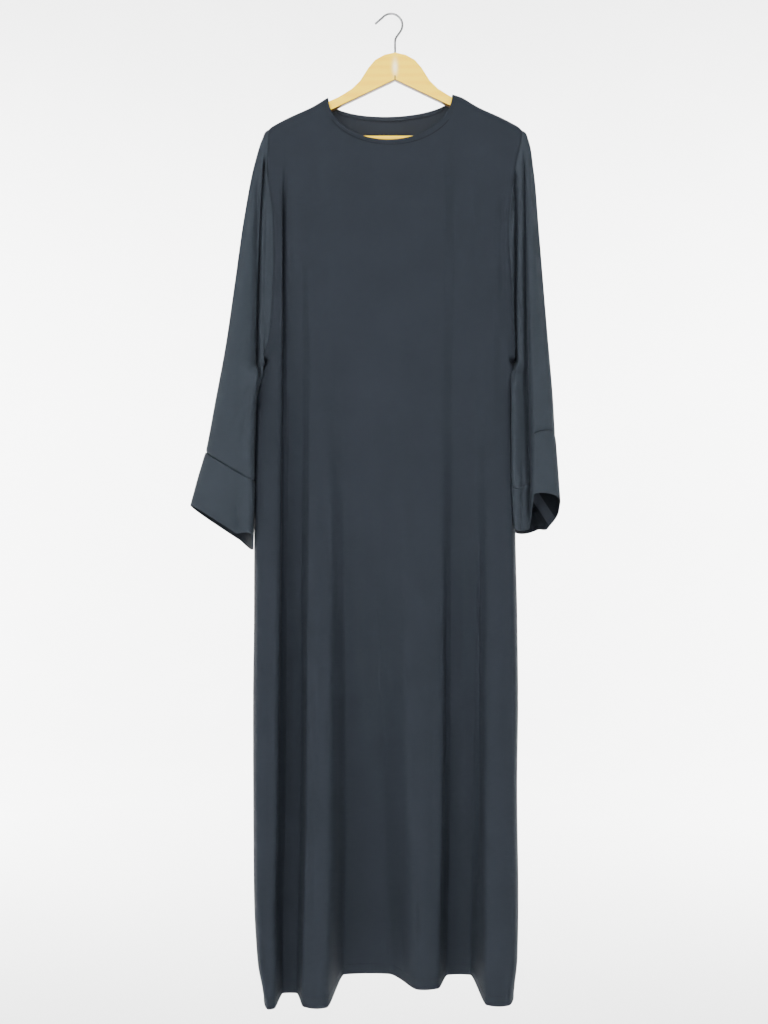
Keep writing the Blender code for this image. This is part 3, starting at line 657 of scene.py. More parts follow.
def yoke_depth(x, height, full_depth, face):
    """Depth Y on the yoke: rounded over the hanger's arm, then out to the chest."""
    below = ridge_z(x) - height
    depth = RIDGE_RADIUS * rounded(below / RIDGE_DROP)
    depth += (abs(full_depth) - RIDGE_RADIUS) * smooth(below / (ridge_z(x) - YOKE_Z))
    return float(face * max(depth, RIDGE_HALF_GAP))


def relief(points, creases, inward):
    """How far the creases move points along X, and along Y into the garment."""
    moved = np.zeros((len(points), 2))
    flat = points[:, (0, 2)]
    for crease in creases:
        path = np.array(crease.path, float)
        starts, ends = path[:-1], path[1:]
        lengths = np.linalg.norm(ends - starts, axis=1)
        before = np.concatenate([[0.0], np.cumsum(lengths)])
        nearest = np.full(len(points), np.inf)
        along = np.zeros(len(points))
        for index, (start, end) in enumerate(zip(starts, ends)):
            way = (end - start) / lengths[index]
            part = np.clip((flat - start) @ way, 0.0, lengths[index])
            distance = np.linalg.norm(flat - start - part[:, None] * way, axis=1)
            closer = distance < nearest
            nearest = np.where(closer, distance, nearest)
            along = np.where(closer, before[index] + part, along)
        fade = smooth(along / crease.fade) * smooth((before[-1] - along) / crease.fade)
        share = np.exp(-((nearest / crease.half_width) ** 2)) * fade
        if crease.one_sided:
            middle = np.interp(-flat[:, 1], -path[:, 1], path[:, 0])
            share *= smooth((middle - flat[:, 0]) / (2 * ONE_SIDED_TURN) + 0.5)
        moved[:, 0] += crease.lean * share
        moved[:, 1] += crease.depth * inward * share
    return moved


def level_heights():
    """Heights of the fine wall's level rows, from below the yoke to the hem."""
    count = round((YOKE_Z - UNDERARM_Z) / ROW_STEP)
    upper = np.linspace(YOKE_Z, UNDERARM_Z, count + 1)[1:]
    count = round((UNDERARM_Z - HEM_Z) / ROW_STEP)
    return list(upper) + list(np.linspace(UNDERARM_Z, HEM_Z, count + 1)[1:])


def panel_grid(folds, neck_depth, face, creases):
    """Rows of points over a panel, from its shoulders and neck to its hem."""
    rows = []
    yoke = finer(coarse_columns(folds, YOKE_Z), COLUMN_STEPS)
    full = panel_depths(folds, YOKE_Z, yoke, face)
    parts = [YOKE_ROWS[0]]
    for start, end, steps in zip(YOKE_ROWS, YOKE_ROWS[1:], YOKE_STEPS):
        parts += [start + (end - start) * (step + 1) / steps for step in range(steps)]
    for part in parts:
        row = []
        for place, depth in zip(yoke_row(folds, yoke, part, neck_depth), full):
            if place is None:
                row.append((np.nan, np.nan, np.nan))
                continue
            row.append((place[0], yoke_depth(*place, depth, face), place[1]))
        for side, column in (("left", 0), ("right", -1)):
            height = row[column][2]
            edge_x, edge_y = edge_point(height, side, face)
            row[column] = (edge_x, face * max(abs(edge_y), RIDGE_HALF_GAP), height)
        rows.append(row)
    for height in level_heights():
        xs = finer(coarse_columns(folds, height), COLUMN_STEPS)
        depths = panel_depths(folds, height, xs, face)
        rise = float(smooth((HEM_RISE_START_Z - height) / (HEM_RISE_START_Z - HEM_Z)))
        lift = HEM_RISE_PER_DEPTH * (depths - HEM_LOWEST_DEPTH) * rise
        rows.append([(x, y, height + up) for x, y, up in zip(xs, depths, lift)])
    grid = np.array(rows, float)
    flat = grid.reshape(-1, 3)
    shown = ~np.isnan(flat[:, 0])
    flat[shown, :2] += relief(flat[shown], creases, -face)
    grid = flat.reshape(grid.shape)
    dip_at_sides(grid, face)
    return grid


def dip_at_sides(grid, face):
    """Draws the cloth in a little where the armhole seams pull it."""
    for column, inward in ((0, 1), (-1, -1)):
        edge = grid[:, column, :]
        above = edge[:, 2] > UNDERARM_Z
        distance = np.abs(grid[:, :, 0] - edge[:, 0][:, None])
        dip = SEAM_DIP * np.exp(-((distance / SEAM_DIP_WIDTH) ** 2))
        strength = smooth((edge[:, 2] - UNDERARM_Z) / UNDERARM_EASE) * above
        low = smooth((np.abs(edge[:, 1]) - RIDGE_RADIUS) / SEAM_DIP_EASE)
        grid[:, :, 1] -= face * np.nan_to_num(dip) * (strength * low)[:, None]


def armhole_heights(side):
    """Heights of the armhole seam's points, from the top down, split finely."""
    top = ridge_z(ARMHOLE_X[side].places[0])
    heights = [top + (YOKE_Z - top) * part for part in YOKE_ROWS]
    return finer(heights + list(ARMHOLE_LEVELS), SLEEVE_COLUMN_STEPS)


def ring_steps(side):
    """Each column of a ring: its seam point's share of the count and height, and its face."""
    heights = armhole_heights(side)
    count = len(heights) - 1
    for step in range(2 * count):
        index = abs(count - step)
        yield index / count, heights[index], -1 if step < count else 1


def ring_columns(side, evenness):
    """Each column of a ring: its share of the way in, its face and the seam's own spread."""
    top = armhole_heights(side)[0]
    columns = []
    for share, height, face in ring_steps(side):
        seam_part = (top - height) / (top - UNDERARM_Z)
        even_part = (1 - math.cos(math.pi * share)) / 2
        part = seam_part + (even_part - seam_part) * evenness
        columns.append((part, face, abs(armhole_depth(height, side, face)) / ARMHOLE_DEPTH[face]))
    return columns


def ring_points(ring, side, evenness):
    """One ring of a sleeve or cuff: each point with its face times its spread and its set-back."""
    points = []
    for part, face, seam_spread in ring_columns(side, evenness):
        oval_spread = (4 * part * (1 - part)) ** OVAL_BLUNTNESS if 0 < part < 1 else 0.0
        spread = seam_spread + (oval_spread - seam_spread) * evenness
        x = ring.outer_x + (ring.inner_x - ring.outer_x) * part
        z = ring.outer_z + (ring.inner_z - ring.outer_z) * part
        y = ring.middle_y + face * ring.half_depth * spread
        lift = ring.front_lift
        if side == "right" and face < 0:
            lift *= 1 + part - LIFT_EVEN_AT
        points.append((x, y, z, face * spread, lift, min(FLAP_GAIN * evenness, 1.0)))
    return points


def armhole_rings(side):
    """The sleeve's first two rings, which carry on from the panels' armhole edges."""
    outward = -1 if side == "left" else 1
    top = armhole_heights(side)[0]
    edge = []
    lead = []
    for share, z, face in ring_steps(side):
        y = 0.0 if share in (0.0, 1.0) else armhole_depth(z, side, face)
        near_underarm = 1 - float(smooth((z - UNDERARM_Z) / UNDERARM_EASE))
        near_ridge = 1 - float(smooth((top - z) / UNDERARM_EASE))
        x = line_at(ARMHOLE_X[side], z) + outward * (SEAM_GAP / 2 + WALL * near_underarm)
        spread = y / ARMHOLE_DEPTH[face]
        edge.append((x, y, z, spread, 0.0, 0.0))
        lead.append((x + outward * LEAD, y, z - RIDGE_SLOPE * LEAD * near_ridge, spread, 0.0, 0.0))
    return [edge, lead]


def along_spline(rings, places):
    """Points on smooth curves through the rings, at places counted in rings."""
    rings = np.array(rings, float)
    lengths = np.linalg.norm(np.diff(rings[:, :, :3], axis=0), axis=2).mean(axis=1)
    knots = np.concatenate([[0.0], np.cumsum(lengths)])
    slopes = np.zeros_like(rings)
    steps = np.diff(rings, axis=0) / lengths[:, None, None]
    slopes[0], slopes[-1] = steps[0], steps[-1]
    for index in range(1, len(rings) - 1):
        near, far = lengths[index - 1], lengths[index]
        slopes[index] = (steps[index - 1] * far + steps[index] * near) / (near + far)
    made = []
    for place in places:
        index = min(int(place), len(rings) - 2)
        span = lengths[index]
        part = (np.interp(place, np.arange(len(knots)), knots) - knots[index]) / span
        ends = (slopes[index] * span, slopes[index + 1] * span)
        made.append(curved(rings[index], rings[index + 1], ends, part))
    return np.array(made)


def table_values(heights, line):
    """The places of a line at many heights."""
    return np.array([line_at(line, height) for height in heights])


def groove_depth(x, z):
    """How deep the groove in the front of the left sleeve is."""
    across = (x - table_values(z, GROOVE)) / GROOVE_HALF_WIDTH
    start = smooth((GROOVE.heights[0] - z) / GROOVE_FADE)
    end = smooth((z - GROOVE.heights[-1] + GROOVE_FADE) / GROOVE_FADE)
    return GROOVE_DEPTH * np.exp(-across * across) * start * end


def flap_share(x, z):
    """How far the front of the right sleeve is set back, from 0 to 1."""
    inside = smooth((table_values(z, FLAP) - x) / FLAP_TURN + 0.5)
    return inside * smooth((FLAP.heights[0] - z) / (FLAP.heights[0] - FLAP_FULL_Z))


def lip_share(x, z, side):
    """How far each point belongs to the sleeve's inner edge below the underarm, from 0 to 1."""
    rings = SLEEVE_RINGS[side]
    edge = Line([ring.inner_z for ring in rings], [ring.inner_x for ring in rings])
    distance = (x - table_values(z, edge)) / LIP_REACH
    return np.exp(-distance * distance) * smooth((LIP_START_Z - z) / LIP_FULL)


def sleeve_grids(side):
    """Fine rows of the sleeve, and of the cuff that carries on from it."""
    rings = armhole_rings(side)
    table = SLEEVE_RINGS[side]
    for index, ring in enumerate(table):
        evenness = min((index + 1) / SLEEVE_RING_COUNT, 1.0)
        rings.append(ring_points(ring, side, float(smooth(evenness))))
    seam = SEAM_RING
    last = len(rings) - 1
    places = list(np.linspace(0, 1, LEAD_ROWS + 1)[:-1]) + list(np.linspace(1, seam, SLEEVE_ROWS))
    sleeve = along_spline(rings, places)
    cuff = along_spline(rings, np.linspace(seam, last, CUFF_ROWS))
    made = []
    for grid in (sleeve, cuff):
        shape = grid.shape
        flat = grid.reshape(-1, grid.shape[2])
        front = np.clip(-flat[:, 3], 0.0, 1.0)
        back = np.clip(flat[:, 3], 0.0, 1.0)
        lift = flat[:, 4]
        if side == "left":
            moved = groove_depth(flat[:, 0], flat[:, 2]) * front
        else:
            inside = flap_share(flat[:, 0], flat[:, 2])
            moved = FLAP_STEP * inside * front * flat[:, 5]
            lift = lift * (1 - STRIP_DROP * inside * (front > 0))
            corner = smooth((flat[:, 0] - BACK_CORNER_X) / BACK_CORNER_WIDTH)
            corner = corner * smooth(back * CORNER_SPREAD)
            corner = corner * smooth((BACK_CORNER_START_Z - flat[:, 2]) / BACK_CORNER_FULL)
            flat[:, 2] -= BACK_CORNER_DROP * corner
        crossed = relief(flat[:, :3], SLEEVE_CREASES[side, -1], 1) * front[:, None]
        crossed += relief(flat[:, :3], SLEEVE_CREASES[side, 1], -1) * back[:, None]
        near = lip_share(flat[:, 0], flat[:, 2], side)
        aside = 1 - (1 - LIP_ASIDE_AT_EDGE[side]) * smooth((LIP_FADE_Z - flat[:, 2]) / LIP_FADE)
        flat[:, :2] += crossed
        flat[:, 1] += moved - near * (LIP_FORWARD + LIP_SQUEEZE * back)
        if side == "left":
            corner = np.clip((flat[:, 0] - CORNER_X) / CORNER_WIDTH, 0.0, 1.0)
            corner = corner * smooth((CORNER_START_Z - flat[:, 2]) / CORNER_FULL)
            flat[:, 2] += corner * (CORNER_RISE * smooth(front * CORNER_SPREAD) - CORNER_DROP * back)
        extra = np.exp(-(((flat[:, 2] - LIP_EXTRA_Z) / LIP_EXTRA_HALF_HEIGHT) ** 2))
        flat[:, 0] += near * (aside * LIP_ASIDE[side] + extra * LIP_EXTRA[side])
        flat[:, 2] -= flat[:, 3] * lift
        made.append(flat[:, :3].reshape(shape[0], shape[1], 3))
    sleeve, cuff = made
    outward = ring_outward(cuff)
    below = np.linspace(0, 1, len(cuff)) * CUFF_DEPTH / CUFF_LAP_WIDTH
    across = np.exp(-(below ** 2))[:, None, None]
    cuff = cuff + outward * CUFF_LAP * (1 - 2 * across)
    dip = np.zeros((len(sleeve), 1, 1))
    steps = np.linalg.norm(np.diff(sleeve, axis=0), axis=2).mean(1)
    way = np.concatenate([[0.0], np.cumsum(steps)])
    dip[:, 0, 0] = np.exp(-(((way - way[-1]) / SEAM_DIP_WIDTH) ** 2))
    sleeve = sleeve - ring_outward(sleeve) * CUFF_SEAM_DIP * dip
    return sleeve, cuff


def ring_outward(grid):
    """Unit directions away from each ring's middle line, along Y and across."""
    middle = grid.mean(axis=1, keepdims=True)
    way = grid - middle
    way[:, :, 2] = 0.0
    size = np.linalg.norm(way, axis=2, keepdims=True)
    return way / np.maximum(size, TINY)


def facing_grid():
    """Rows over the narrow facing inside the back neck."""
    yoke = finer(coarse_columns(BACK_FOLDS, YOKE_Z), COLUMN_STEPS)
    full = panel_depths(BACK_FOLDS, YOKE_Z, yoke, 1)
    first, last = neck_columns(BACK_FOLDS)
    edge = yoke_row(BACK_FOLDS, yoke, YOKE_ROWS[NECK_START_ROW], BACK_NECK_DEPTH)
    rows = []
    for down in np.linspace(0.0, 1.0, FACING_ROWS):
        row = []
        for index in range(first + COLUMN_STEPS, last - COLUMN_STEPS + 1):
            x, z = edge[index]
            z -= FACING_START + FACING_WIDTH * down
            row.append((x, yoke_depth(x, z, full[index], 1) - FACING_INSET, z))
        rows.append(row)
    return np.array(rows, float)


def cloth(name, grid, closed, thickness, flip, node, finish, inside=None):
    """A thin shell through a grid of points, which stands for one node of the solid."""
    count_rows, count = grid.shape[:2]
    shown = ~np.isnan(grid[:, :, 0])
    number = np.full(shown.shape, -1)
    number[shown] = np.arange(shown.sum())
    step_across = np.linalg.norm(np.nan_to_num(np.diff(grid, axis=1)), axis=2)
    across = np.concatenate([np.zeros((count_rows, 1)), np.cumsum(step_across, axis=1)], axis=1)
    step_down = np.linalg.norm(np.nan_to_num(np.diff(grid, axis=0)), axis=2)
    down = np.concatenate([np.zeros((1, count)), np.cumsum(step_down, axis=0)], axis=0)
    if closed:
        turn = np.linalg.norm(grid[:, 0] - grid[:, -1], axis=1)
        end = across[:, -1] + turn
    faces = []
    places = []
    for row in range(count_rows - 1):
        for column in range(count if closed else count - 1):
            after = (column + 1) % count
            corners = [(row, column), (row + 1, column), (row + 1, after), (row, after)]
            if min(number[corner] for corner in corners) < 0:
                continue
            uv = []
            for r, c in corners:
                u = end[r] if closed and c == 0 and column == count - 1 else across[r, c]
                uv.append((u * MM, -down[r, c] * MM))
            if flip:
                corners.reverse()
                uv.reverse()
            faces.append([number[corner] for corner in corners])
            places += uv
    mesh = bpy.data.meshes.new(name)
    mesh.from_pydata((grid[shown] * MM).tolist(), [], faces)
    layer = mesh.uv_layers.new(name="cut")
    layer.data.foreach_set("uv", np.array(places, np.float32).ravel())
    mesh.shade_smooth()
    piece = placed(name, mesh)
    wall = piece.modifiers.new("wall", "SOLIDIFY")
    wall.thickness = thickness * MM
    wall.offset = 0.0
    wall.use_even_offset = False
    if inside:
        mesh.materials.append(inside)
        wall.material_offset = 1
        wall.material_offset_rim = 1
    mesh.materials.append(finish)
    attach(piece, "root")
    if node:
        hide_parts(node)
    return piece


def layer_area(grid, closed):
    """Area of one layer of a grid in square metres."""
    if closed:
        grid = np.concatenate([grid, grid[:, :1]], axis=1)
    a = grid[:-1, :-1]
    b = grid[1:, :-1]
    c = grid[1:, 1:]
    d = grid[:-1, 1:]
    first = np.linalg.norm(np.cross(b - a, c - a), axis=2) / 2
    second = np.linalg.norm(np.cross(c - a, d - a), axis=2) / 2
    return float(np.nansum(first) + np.nansum(second)) * MM * MM


def stitches(name, points, normals, material):
    """A row of short stitches along a path of points, joined as one piece."""
    points = np.asarray(points, float)
    normals = np.asarray(normals, float)
    lengths = np.linalg.norm(np.diff(points, axis=0), axis=1)
    way = np.concatenate([[0.0], np.cumsum(lengths)])
    starts = np.arange(STITCH_PITCH / 2, way[-1] - STITCH_PITCH / 2, STITCH_PITCH)
    verts = []
    faces = []
    sides = STITCH_SIDES

    def read(table, place):
        return np.array([np.interp(place, way, table[:, axis]) for axis in range(3)])

    for start in starts:
        middle = read(points, start)
        up = read(normals, start)
        run = read(points, start + 1.0) - read(points, start - 1.0)
        run /= np.linalg.norm(run)
        up = up - run * (up @ run)
        up /= np.linalg.norm(up)
        aside = np.cross(run, up)
        first = len(verts)
        for place, size, rise in STITCH_PROFILE:
            centre = middle + run * place * STITCH_LENGTH + up * STITCH_RADIUS * rise
            for side in range(sides):
                turn = 2 * math.pi * side / sides
                ring = aside * math.cos(turn) + up * math.sin(turn)
                verts.append(tuple((centre + ring * STITCH_RADIUS * size) * MM))
        for ring in range(len(STITCH_PROFILE) - 1):
            for side in range(sides):
                after = (side + 1) % sides
                low = first + ring * sides
                faces.append((low + side, low + after, low + sides + after, low + sides + side))
        last = first + (len(STITCH_PROFILE) - 1) * sides
        faces.append(tuple(first + side for side in reversed(range(sides))))
        faces.append(tuple(last + side for side in range(sides)))
    mesh = bpy.data.meshes.new(name)
    mesh.from_pydata(verts, [], faces)
    mesh.shade_smooth()
    piece = placed(name, mesh)
    mesh.materials.append(material)
    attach(piece, "root")
    return piece


def placed(name, data):
    """A new object in the scene."""
    thing = bpy.data.objects.new(name, data)
    bpy.context.scene.collection.objects.link(thing)
    return thing


def surface_tree(piece):
    """A tree of one piece's faces, modifiers included, for laying things on it."""
    graph = bpy.context.evaluated_depsgraph_get()
    return BVHTree.FromObject(piece, graph)


def laid_on(tree, places, from_y):
    """Points and normals where lines along Y first meet a surface."""
    points = []
    normals = []
    heading = Vector((0.0, 1.0 if from_y < 0 else -1.0, 0.0))
    for x, z in places:
        hit, normal, _, _ = tree.ray_cast(Vector((x * MM, from_y, z * MM)), heading)
        if hit is None:
            continue
        points.append(tuple(hit / MM))
        normals.append(tuple(normal if normal.dot(heading) < 0 else -normal))
    return points, normals


def neck_path(neck_depth, inset):
    """X and Z of a line that follows the neck edge at an even distance from it."""
    places = []
    ends = (math.radians(NECK_PATH_START), math.radians(180 - NECK_PATH_START))
    for turn in np.linspace(*ends, NECK_PATH_POINTS):
        x = NECK_CENTRE_X - NECK_HALF_WIDTH * math.cos(turn)
        z = neck_level(x) - neck_depth * math.sin(turn)
        out_x = -math.cos(turn) / NECK_HALF_WIDTH
        out_z = -math.sin(turn) / neck_depth
        size = math.hypot(out_x, out_z)
        places.append((x + inset * out_x / size, z + inset * out_z / size))
    return places


def grid_path(grid, row, face):
    """Points along one row of a panel's grid, with normals that point away from the garment."""
    points = grid[row]
    normals = np.cross(np.gradient(points, axis=0), grid[row - 1] - points)
    normals /= np.maximum(np.linalg.norm(normals, axis=1, keepdims=True), TINY)
    if np.median(normals[:, 1]) * face < 0:
        normals = -normals
    return points, normals


class Finish:
    """A procedural material, with short ways to add and link its nodes."""

    def __init__(self, name):
        self.material = bpy.data.materials.new(name)
        self.material.use_nodes = True
        self.nodes = self.material.node_tree.nodes
        self.links = self.material.node_tree.links
        coordinates = self.nodes.new("ShaderNodeTexCoord")
        self.cut = coordinates.outputs["UV"]
        self.place = coordinates.outputs["Object"]
        self.xyz = self.add("SeparateXYZ", {"Vector": self.place})

    def feed(self, node, inputs):
        """Feeds a node's inputs, by name or number, from outputs, plain values or colours."""
        for key, value in inputs.items():
            socket = node.inputs[key]
            if isinstance(value, bpy.types.NodeSocket):
                self.links.new(value, socket)
            elif socket.type == "RGBA":
                socket.default_value = (*value, 1.0)
            else:
                socket.default_value = value

    def add(self, kind, inputs, **settings):
        """Adds a node and gives its outputs."""
        node = self.nodes.new("ShaderNode" + kind)
        for key, value in settings.items():
            setattr(node, key, value)
        self.feed(node, inputs)
        return node.outputs

    def mixed(self, factor, first, second, blend="MIX"):
        """A mix of two colours."""
        inputs = {0: factor, 6: first, 7: second}
        return self.add("Mix", inputs, data_type="RGBA", blend_type=blend)[2]

    def computed(self, operation, first, second=0.0):
        """One step of arithmetic."""
        return self.add("Math", {0: first, 1: second}, operation=operation)[0]

    def squares(self, first, second):
        """The sum of two squares."""
        first = self.computed("MULTIPLY", first, first)
        return self.computed("ADD", first, self.computed("MULTIPLY", second, second))

    def within(self, value, limit):
        """1 where a value is nearer to 0 than a limit."""
        return self.computed("LESS_THAN", self.computed("ABSOLUTE", value), limit)

    def away(self, axis, start, size=1.0):
        """How far a point lies from a place along one axis, in shares of a size."""
        return self.computed("DIVIDE", self.computed("SUBTRACT", self.xyz[axis], start * MM), size * MM)

    def facing(self, axis, limit):
        """1 on faces whose direction along one axis is below a limit."""
        normal = self.add("NewGeometry", {})["True Normal"]
        return self.computed("LESS_THAN", self.add("SeparateXYZ", {"Vector": normal})[axis], limit)

    def stretched(self, scale):
        """Coordinates that are scaled differently along each axis."""
        return self.add("Mapping", {"Vector": self.place, "Scale": scale})["Vector"]

    def noise(self, vector, values):
        """A noise texture."""
        return self.add("TexNoise", {"Vector": vector, **values})["Fac"]

    def bands(self, vector, direction, values):
        """A texture of waving bands."""
        settings = {"wave_type": "BANDS", "bands_direction": direction}
        return self.add("TexWave", {"Vector": vector, **values}, **settings)["Fac"]

    def ranged(self, value, limits):
        """A value from 0 to 1, spread over a range."""
        return self.add("MapRange", {"Value": value, "To Min": limits[0], "To Max": limits[1]})["Result"]

    def bumped(self, height, bump):
        """A surface direction that follows a texture."""
        return self.add("Bump", {"Height": height, **bump})["Normal"]

    def shaded(self, **inputs):
        """Feeds the shader, whose inputs are named with low lines for blanks."""
        named = {key.replace("_", " "): value for key, value in inputs.items()}
        self.feed(self.nodes["Principled BSDF"], named)
        return self.material


def crepe_material(name, colour, dark, inside=None, neck_shadow_line=False, band=None):
    """Matte smooth crepe: two crossing threads, a pebbled grain and a soft nap.

    The back panel has a wrong side, the front a painted shadow line along its neck, and the cuffs'
    inside, which is painted in shade, a band of the turned edge that is kept out of that shade.
    """
    finish = Finish(name)
    warp, weft = [finish.bands(finish.cut, way, values) for way, values in CREPE_THREADS]
    weave = finish.computed("MULTIPLY", warp, weft)
    grain = finish.noise(finish.place, CREPE_GRAIN)
    tone = finish.mixed(finish.noise(finish.place, CREPE_NAP), dark, colour)
    base = finish.mixed(THREAD_SHARE, tone, finish.mixed(weave, dark, tone))
    if inside:
        base = finish.mixed(finish.facing(1, WRONG_SIDE_LIMIT), base, inside)
    if neck_shadow_line:
        # Painted shadow: a thin dark line along the front neck's seam
        base = finish.mixed(painted_neck_shadow(finish), base, SEAM_SHADOW)
    if band:
        # The band of the turned edge is kept out of the painted shade inside the cuff
        base = finish.mixed(turned_edge(finish), base, band)
    height = finish.computed("ADD", weave, finish.computed("MULTIPLY", grain, GRAIN_HEIGHT))
    return finish.shaded(
        Base_Color=base,
        Normal=finish.bumped(height, CREPE_BUMP),
        Roughness=finish.ranged(grain, CREPE_ROUGHNESS),
        Specular_IOR_Level=CREPE_GLOSS,
    )


def painted_neck_shadow(finish):
    """A thin line of painted shadow along the front neck, where the turned edge ends under the cloth."""
    across = finish.away(0, NECK_CENTRE_X, NECK_HALF_WIDTH + NECK_STITCH_INSET)
    down = finish.away(2, neck_level(NECK_CENTRE_X), FRONT_NECK_DEPTH + NECK_STITCH_INSET)
    ring = finish.computed("SQRT", finish.squares(across, down))
    near = finish.within(finish.computed("SUBTRACT", ring, 1.0), NECK_SHADOW_SHARE)
    below = finish.computed("LESS_THAN", finish.xyz[2], NECK_SHADOW_TOP_Z * MM)
    return finish.computed("MULTIPLY", near, below)


def turned_edge(finish):
    """1 on the band of the cuff's turned edge that runs down across the right mouth."""
    way = (Vector(BAND_END) - Vector(BAND_START)).normalized()
    aside = finish.computed("MULTIPLY", finish.away(0, BAND_START[0]), way.y)
    ahead = finish.computed("MULTIPLY", finish.away(2, BAND_START[1]), way.x)
    return finish.within(finish.computed("SUBTRACT", aside, ahead), BAND_HALF_WIDTH)


def thread_material():
    """Twisted sewing thread, a little darker and glossier than the crepe."""
    finish = Finish("thread")
    twist = finish.bands(finish.place, "DIAGONAL", THREAD_TWIST)
    return finish.shaded(
        Base_Color=finish.mixed(twist, THREAD_DARK, THREAD_PALE),
        Normal=finish.bumped(twist, THREAD_BUMP),
        Roughness=THREAD_ROUGHNESS,
        Specular_IOR_Level=THREAD_GLOSS,
    )


def wood_material(name, joint):
    """Varnished pale wood with long grain. The hanger's also has its joint, a painted glint and painted
    shade on its underside.
    """
    finish = Finish(name)
    rings = finish.bands(finish.stretched(WOOD_RING_STRETCH), "Z", WOOD_RINGS)
    fibre = finish.noise(finish.stretched(WOOD_FIBRE_STRETCH), WOOD_FIBRE)
    ramp = finish.nodes.new("ShaderNodeValToRGB")
    for element, (place, tone) in zip(ramp.color_ramp.elements, WOOD_RAMP):
        element.position = place
        element.color = (*tone, 1.0)
    finish.feed(ramp, {"Fac": rings})
    base = finish.mixed(FIBRE_SHARE, ramp.outputs["Color"], fibre, "SOFT_LIGHT")
    if joint:
        # Painted highlight: a soft pale patch on the middle of the hanger's front stands for a glint
        high = finish.away(2, GLINT_Z, GLINT_HALF_HEIGHT)
        squares = finish.squares(finish.away(0, CENTRE_X, GLINT_HALF_WIDTH), high)
        glint = finish.computed("EXPONENT", finish.computed("MULTIPLY", squares, -1.0))
        near = finish.within(finish.away(0, CENTRE_X), JOINT_HALF_WIDTH)
        low = finish.computed("LESS_THAN", finish.xyz[2], (V_APEX_Z + JOINT_LENGTH) * MM)
        base = finish.mixed(glint, base, WOOD_GLINT)
        base = finish.mixed(finish.computed("MULTIPLY", near, low), base, WOOD_JOINT)
        # Painted shade: faces that point down are painted dark brown
        base = finish.mixed(finish.facing(2, UNDER_SHADE_LIMIT), base, WOOD_SHADE)
    return finish.shaded(
        Base_Color=base,
        Normal=finish.bumped(fibre, WOOD_BUMP),
        Roughness=finish.ranged(fibre, WOOD_ROUGHNESS),
        Specular_IOR_Level=WOOD_GLOSS,
        Coat_Weight=VARNISH_WEIGHT,
        Coat_Roughness=VARNISH_ROUGHNESS,
    )


def chrome_material():
    """Chromed wire with faint draw marks."""
    finish = Finish("chromed_wire")
    marks = finish.noise(finish.place, DRAW_MARKS)
    return finish.shaded(
        Base_Color=finish.mixed(marks, CHROME_DARK, CHROME_PALE),
        Roughness=finish.ranged(marks, CHROME_ROUGHNESS),
        Metallic=1.0,
    )


def room():
    """A pale floor that curves up into a round wall, far from the garment."""
    finish = Finish("room")
    cloudy = finish.noise(finish.place, ROOM_CLOUDS)
    paint = finish.shaded(
        Base_Color=finish.mixed(cloudy, ROOM_GREY, ROOM_PALE),
        Roughness=ROOM_ROUGHNESS,
    )
    profile = [(0.0, ROOM_FLOOR_Z)]
    flat = ROOM_RADIUS - ROOM_CORNER
    profile += [(flat * step / ROOM_FLAT_STEPS, ROOM_FLOOR_Z) for step in range(1, ROOM_FLAT_STEPS)]
    for step in range(ROOM_CORNER_STEPS + 1):
        turn = math.pi / 2 * step / ROOM_CORNER_STEPS
        radius = flat + ROOM_CORNER * math.sin(turn)
        profile.append((radius, ROOM_FLOOR_Z + ROOM_CORNER * (1 - math.cos(turn))))
    profile.append((ROOM_RADIUS, ROOM_FLOOR_Z + ROOM_HEIGHT))
    verts = [(0.0, 0.0, ROOM_FLOOR_Z)]
    faces = []
    for radius, z in profile[1:]:
        for side in range(ROOM_SIDES):
            turn = 2 * math.pi * side / ROOM_SIDES
            verts.append((radius * math.cos(turn), radius * math.sin(turn), z))
    for side in range(ROOM_SIDES):
        after = (side + 1) % ROOM_SIDES
        faces.append((0, 1 + side, 1 + after))
        for ring in range(len(profile) - 2):
            low = 1 + ring * ROOM_SIDES
            high = low + ROOM_SIDES
            faces.append((low + side, high + side, high + after, low + after))
    mesh = bpy.data.meshes.new("room")
    mesh.from_pydata(verts, [], faces)
    mesh.shade_smooth()
    mesh.materials.append(paint)
    placed("room", mesh)


def area_light(name, place, target, size, power):
    """A soft square light that faces a point."""
    light = bpy.data.lights.new(name, "AREA")
    light.size = size
    light.energy = power
    holder = placed(name, light)
    holder.visible_camera = False
    holder.location = place
    holder.rotation_euler = (Vector(target) - Vector(place)).to_track_quat("-Z", "Y").to_euler()


def lights_and_camera():
    """Pale sky, soft light from the left front, and the camera at the photo's place."""
    world = bpy.data.worlds.new("pale")
    world.use_nodes = True
    sky = world.node_tree.nodes["Background"]
    sky.inputs["Color"].default_value = (*SKY_COLOUR, 1.0)
    sky.inputs["Strength"].default_value = WORLD_STRENGTH
    bpy.context.scene.world = world
    for name, place, target, size, power in LIGHTS:
        area_light(name, place, target, size, power)
    camera = bpy.data.cameras.new("camera")
    camera.lens = CAMERA_LENS
    camera.sensor_width = CAMERA_SENSOR
    camera.clip_start = CAMERA_NEAR
    camera.clip_end = CAMERA_FAR
    holder = placed("camera", camera)
    holder.location = CAMERA_PLACE
    holder.rotation_euler = (math.radians(90), 0.0, 0.0)
    bpy.context.scene.camera = holder


FRONT_CREPE = crepe_material("front_crepe", CREPE_COLOUR, CREPE_DARK, neck_shadow_line=True)
CREPE = crepe_material("crepe", CREPE_COLOUR, CREPE_DARK, inside=CREPE_INSIDE)
# The sleeves' crepe is painted lighter than the body's, for the light they catch from the sides
SLEEVE_LIT_CREPE = crepe_material("sleeve_lit_crepe", SLEEVE_LIT_COLOUR, SLEEVE_LIT_DARK)
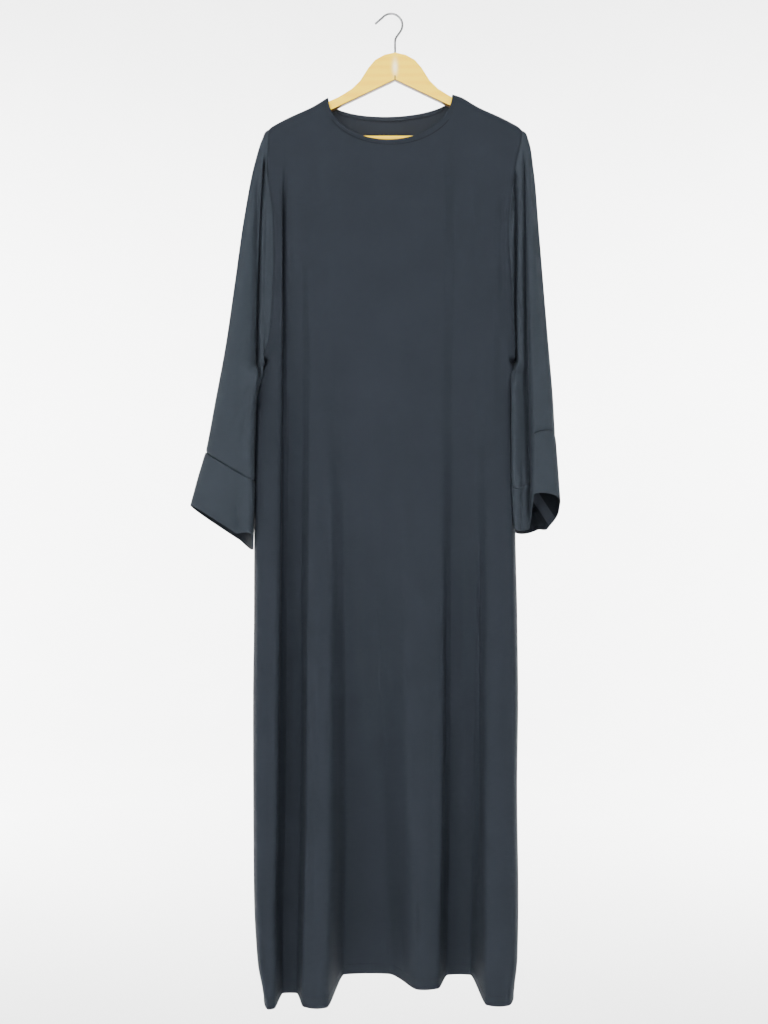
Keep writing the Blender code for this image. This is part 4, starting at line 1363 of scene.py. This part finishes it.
# The cuffs' inside is painted in shade, with its turned edge's band left at the wrong side's tone
CUFF_SHADED_INSIDE = crepe_material("cuff_inside_shaded_crepe", INSIDE_CUFF_SHADE, INSIDE_CUFF_SHADE_DARK, band=CREPE_INSIDE)
THREAD = thread_material()

front_grid = panel_grid(FRONT_FOLDS, FRONT_NECK_DEPTH, -1, FRONT_CREASES)
back_grid = panel_grid(BACK_FOLDS, BACK_NECK_DEPTH, 1, BACK_CREASES)
front = cloth("front_cloth", front_grid, False, SHELL, False, "front", FRONT_CREPE)
back = cloth("back_cloth", back_grid, False, SHELL, True, "back", CREPE)
facing_shape = facing_grid()
facing = cloth("neck_facing_cloth", facing_shape, False, FACING_SHELL, True, "neck_facing", CREPE)
bpy.context.view_layer.update()

front_tree = surface_tree(front)
neck_points, neck_normals = laid_on(front_tree, neck_path(FRONT_NECK_DEPTH, NECK_STITCH_INSET), -1.0)
neck_front = stitches("neck_front_stitches", neck_points, neck_normals, THREAD)
back_tree = surface_tree(back)
neck_points, neck_normals = laid_on(back_tree, neck_path(BACK_NECK_DEPTH, NECK_STITCH_INSET), 1.0)
neck_back = stitches("neck_back_stitches", neck_points, neck_normals, THREAD)

for name, grid, face in (("hem_front_stitches", front_grid, -1), ("hem_back_stitches", back_grid, 1)):
    path, aways = grid_path(grid, -1 - HEM_ROWS_UP, face)
    stitches(name, path + aways * SHELL / 2, aways, THREAD)

for side in ("left", "right"):
    sleeve_shape, cuff_shape = sleeve_grids(side)
    for kind, grid, thickness in (("sleeve_", sleeve_shape, SHELL), ("cuff_", cuff_shape, CUFF_SHELL)):
        node = kind + side
        inside = CUFF_SHADED_INSIDE if kind == "cuff_" else None
        flip = side == "right"
        cloth(node + "_cloth", grid, True, thickness, flip, node, SLEEVE_LIT_CREPE, inside)
    layer_area(sleeve_shape, True)
    layer_area(cuff_shape, True)

WOOD = wood_material("hanger_wood", True)
BAR_WOOD = wood_material("bar_wood", False)
CHROME = chrome_material()
for node, finish in (("hanger", WOOD), ("trouser_bar", BAR_WOOD), ("hook", CHROME)):
    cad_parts[node].data.materials.clear()
    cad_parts[node].data.materials.append(finish)

room()
lights_and_camera()

bpy.context.view_layer.update()
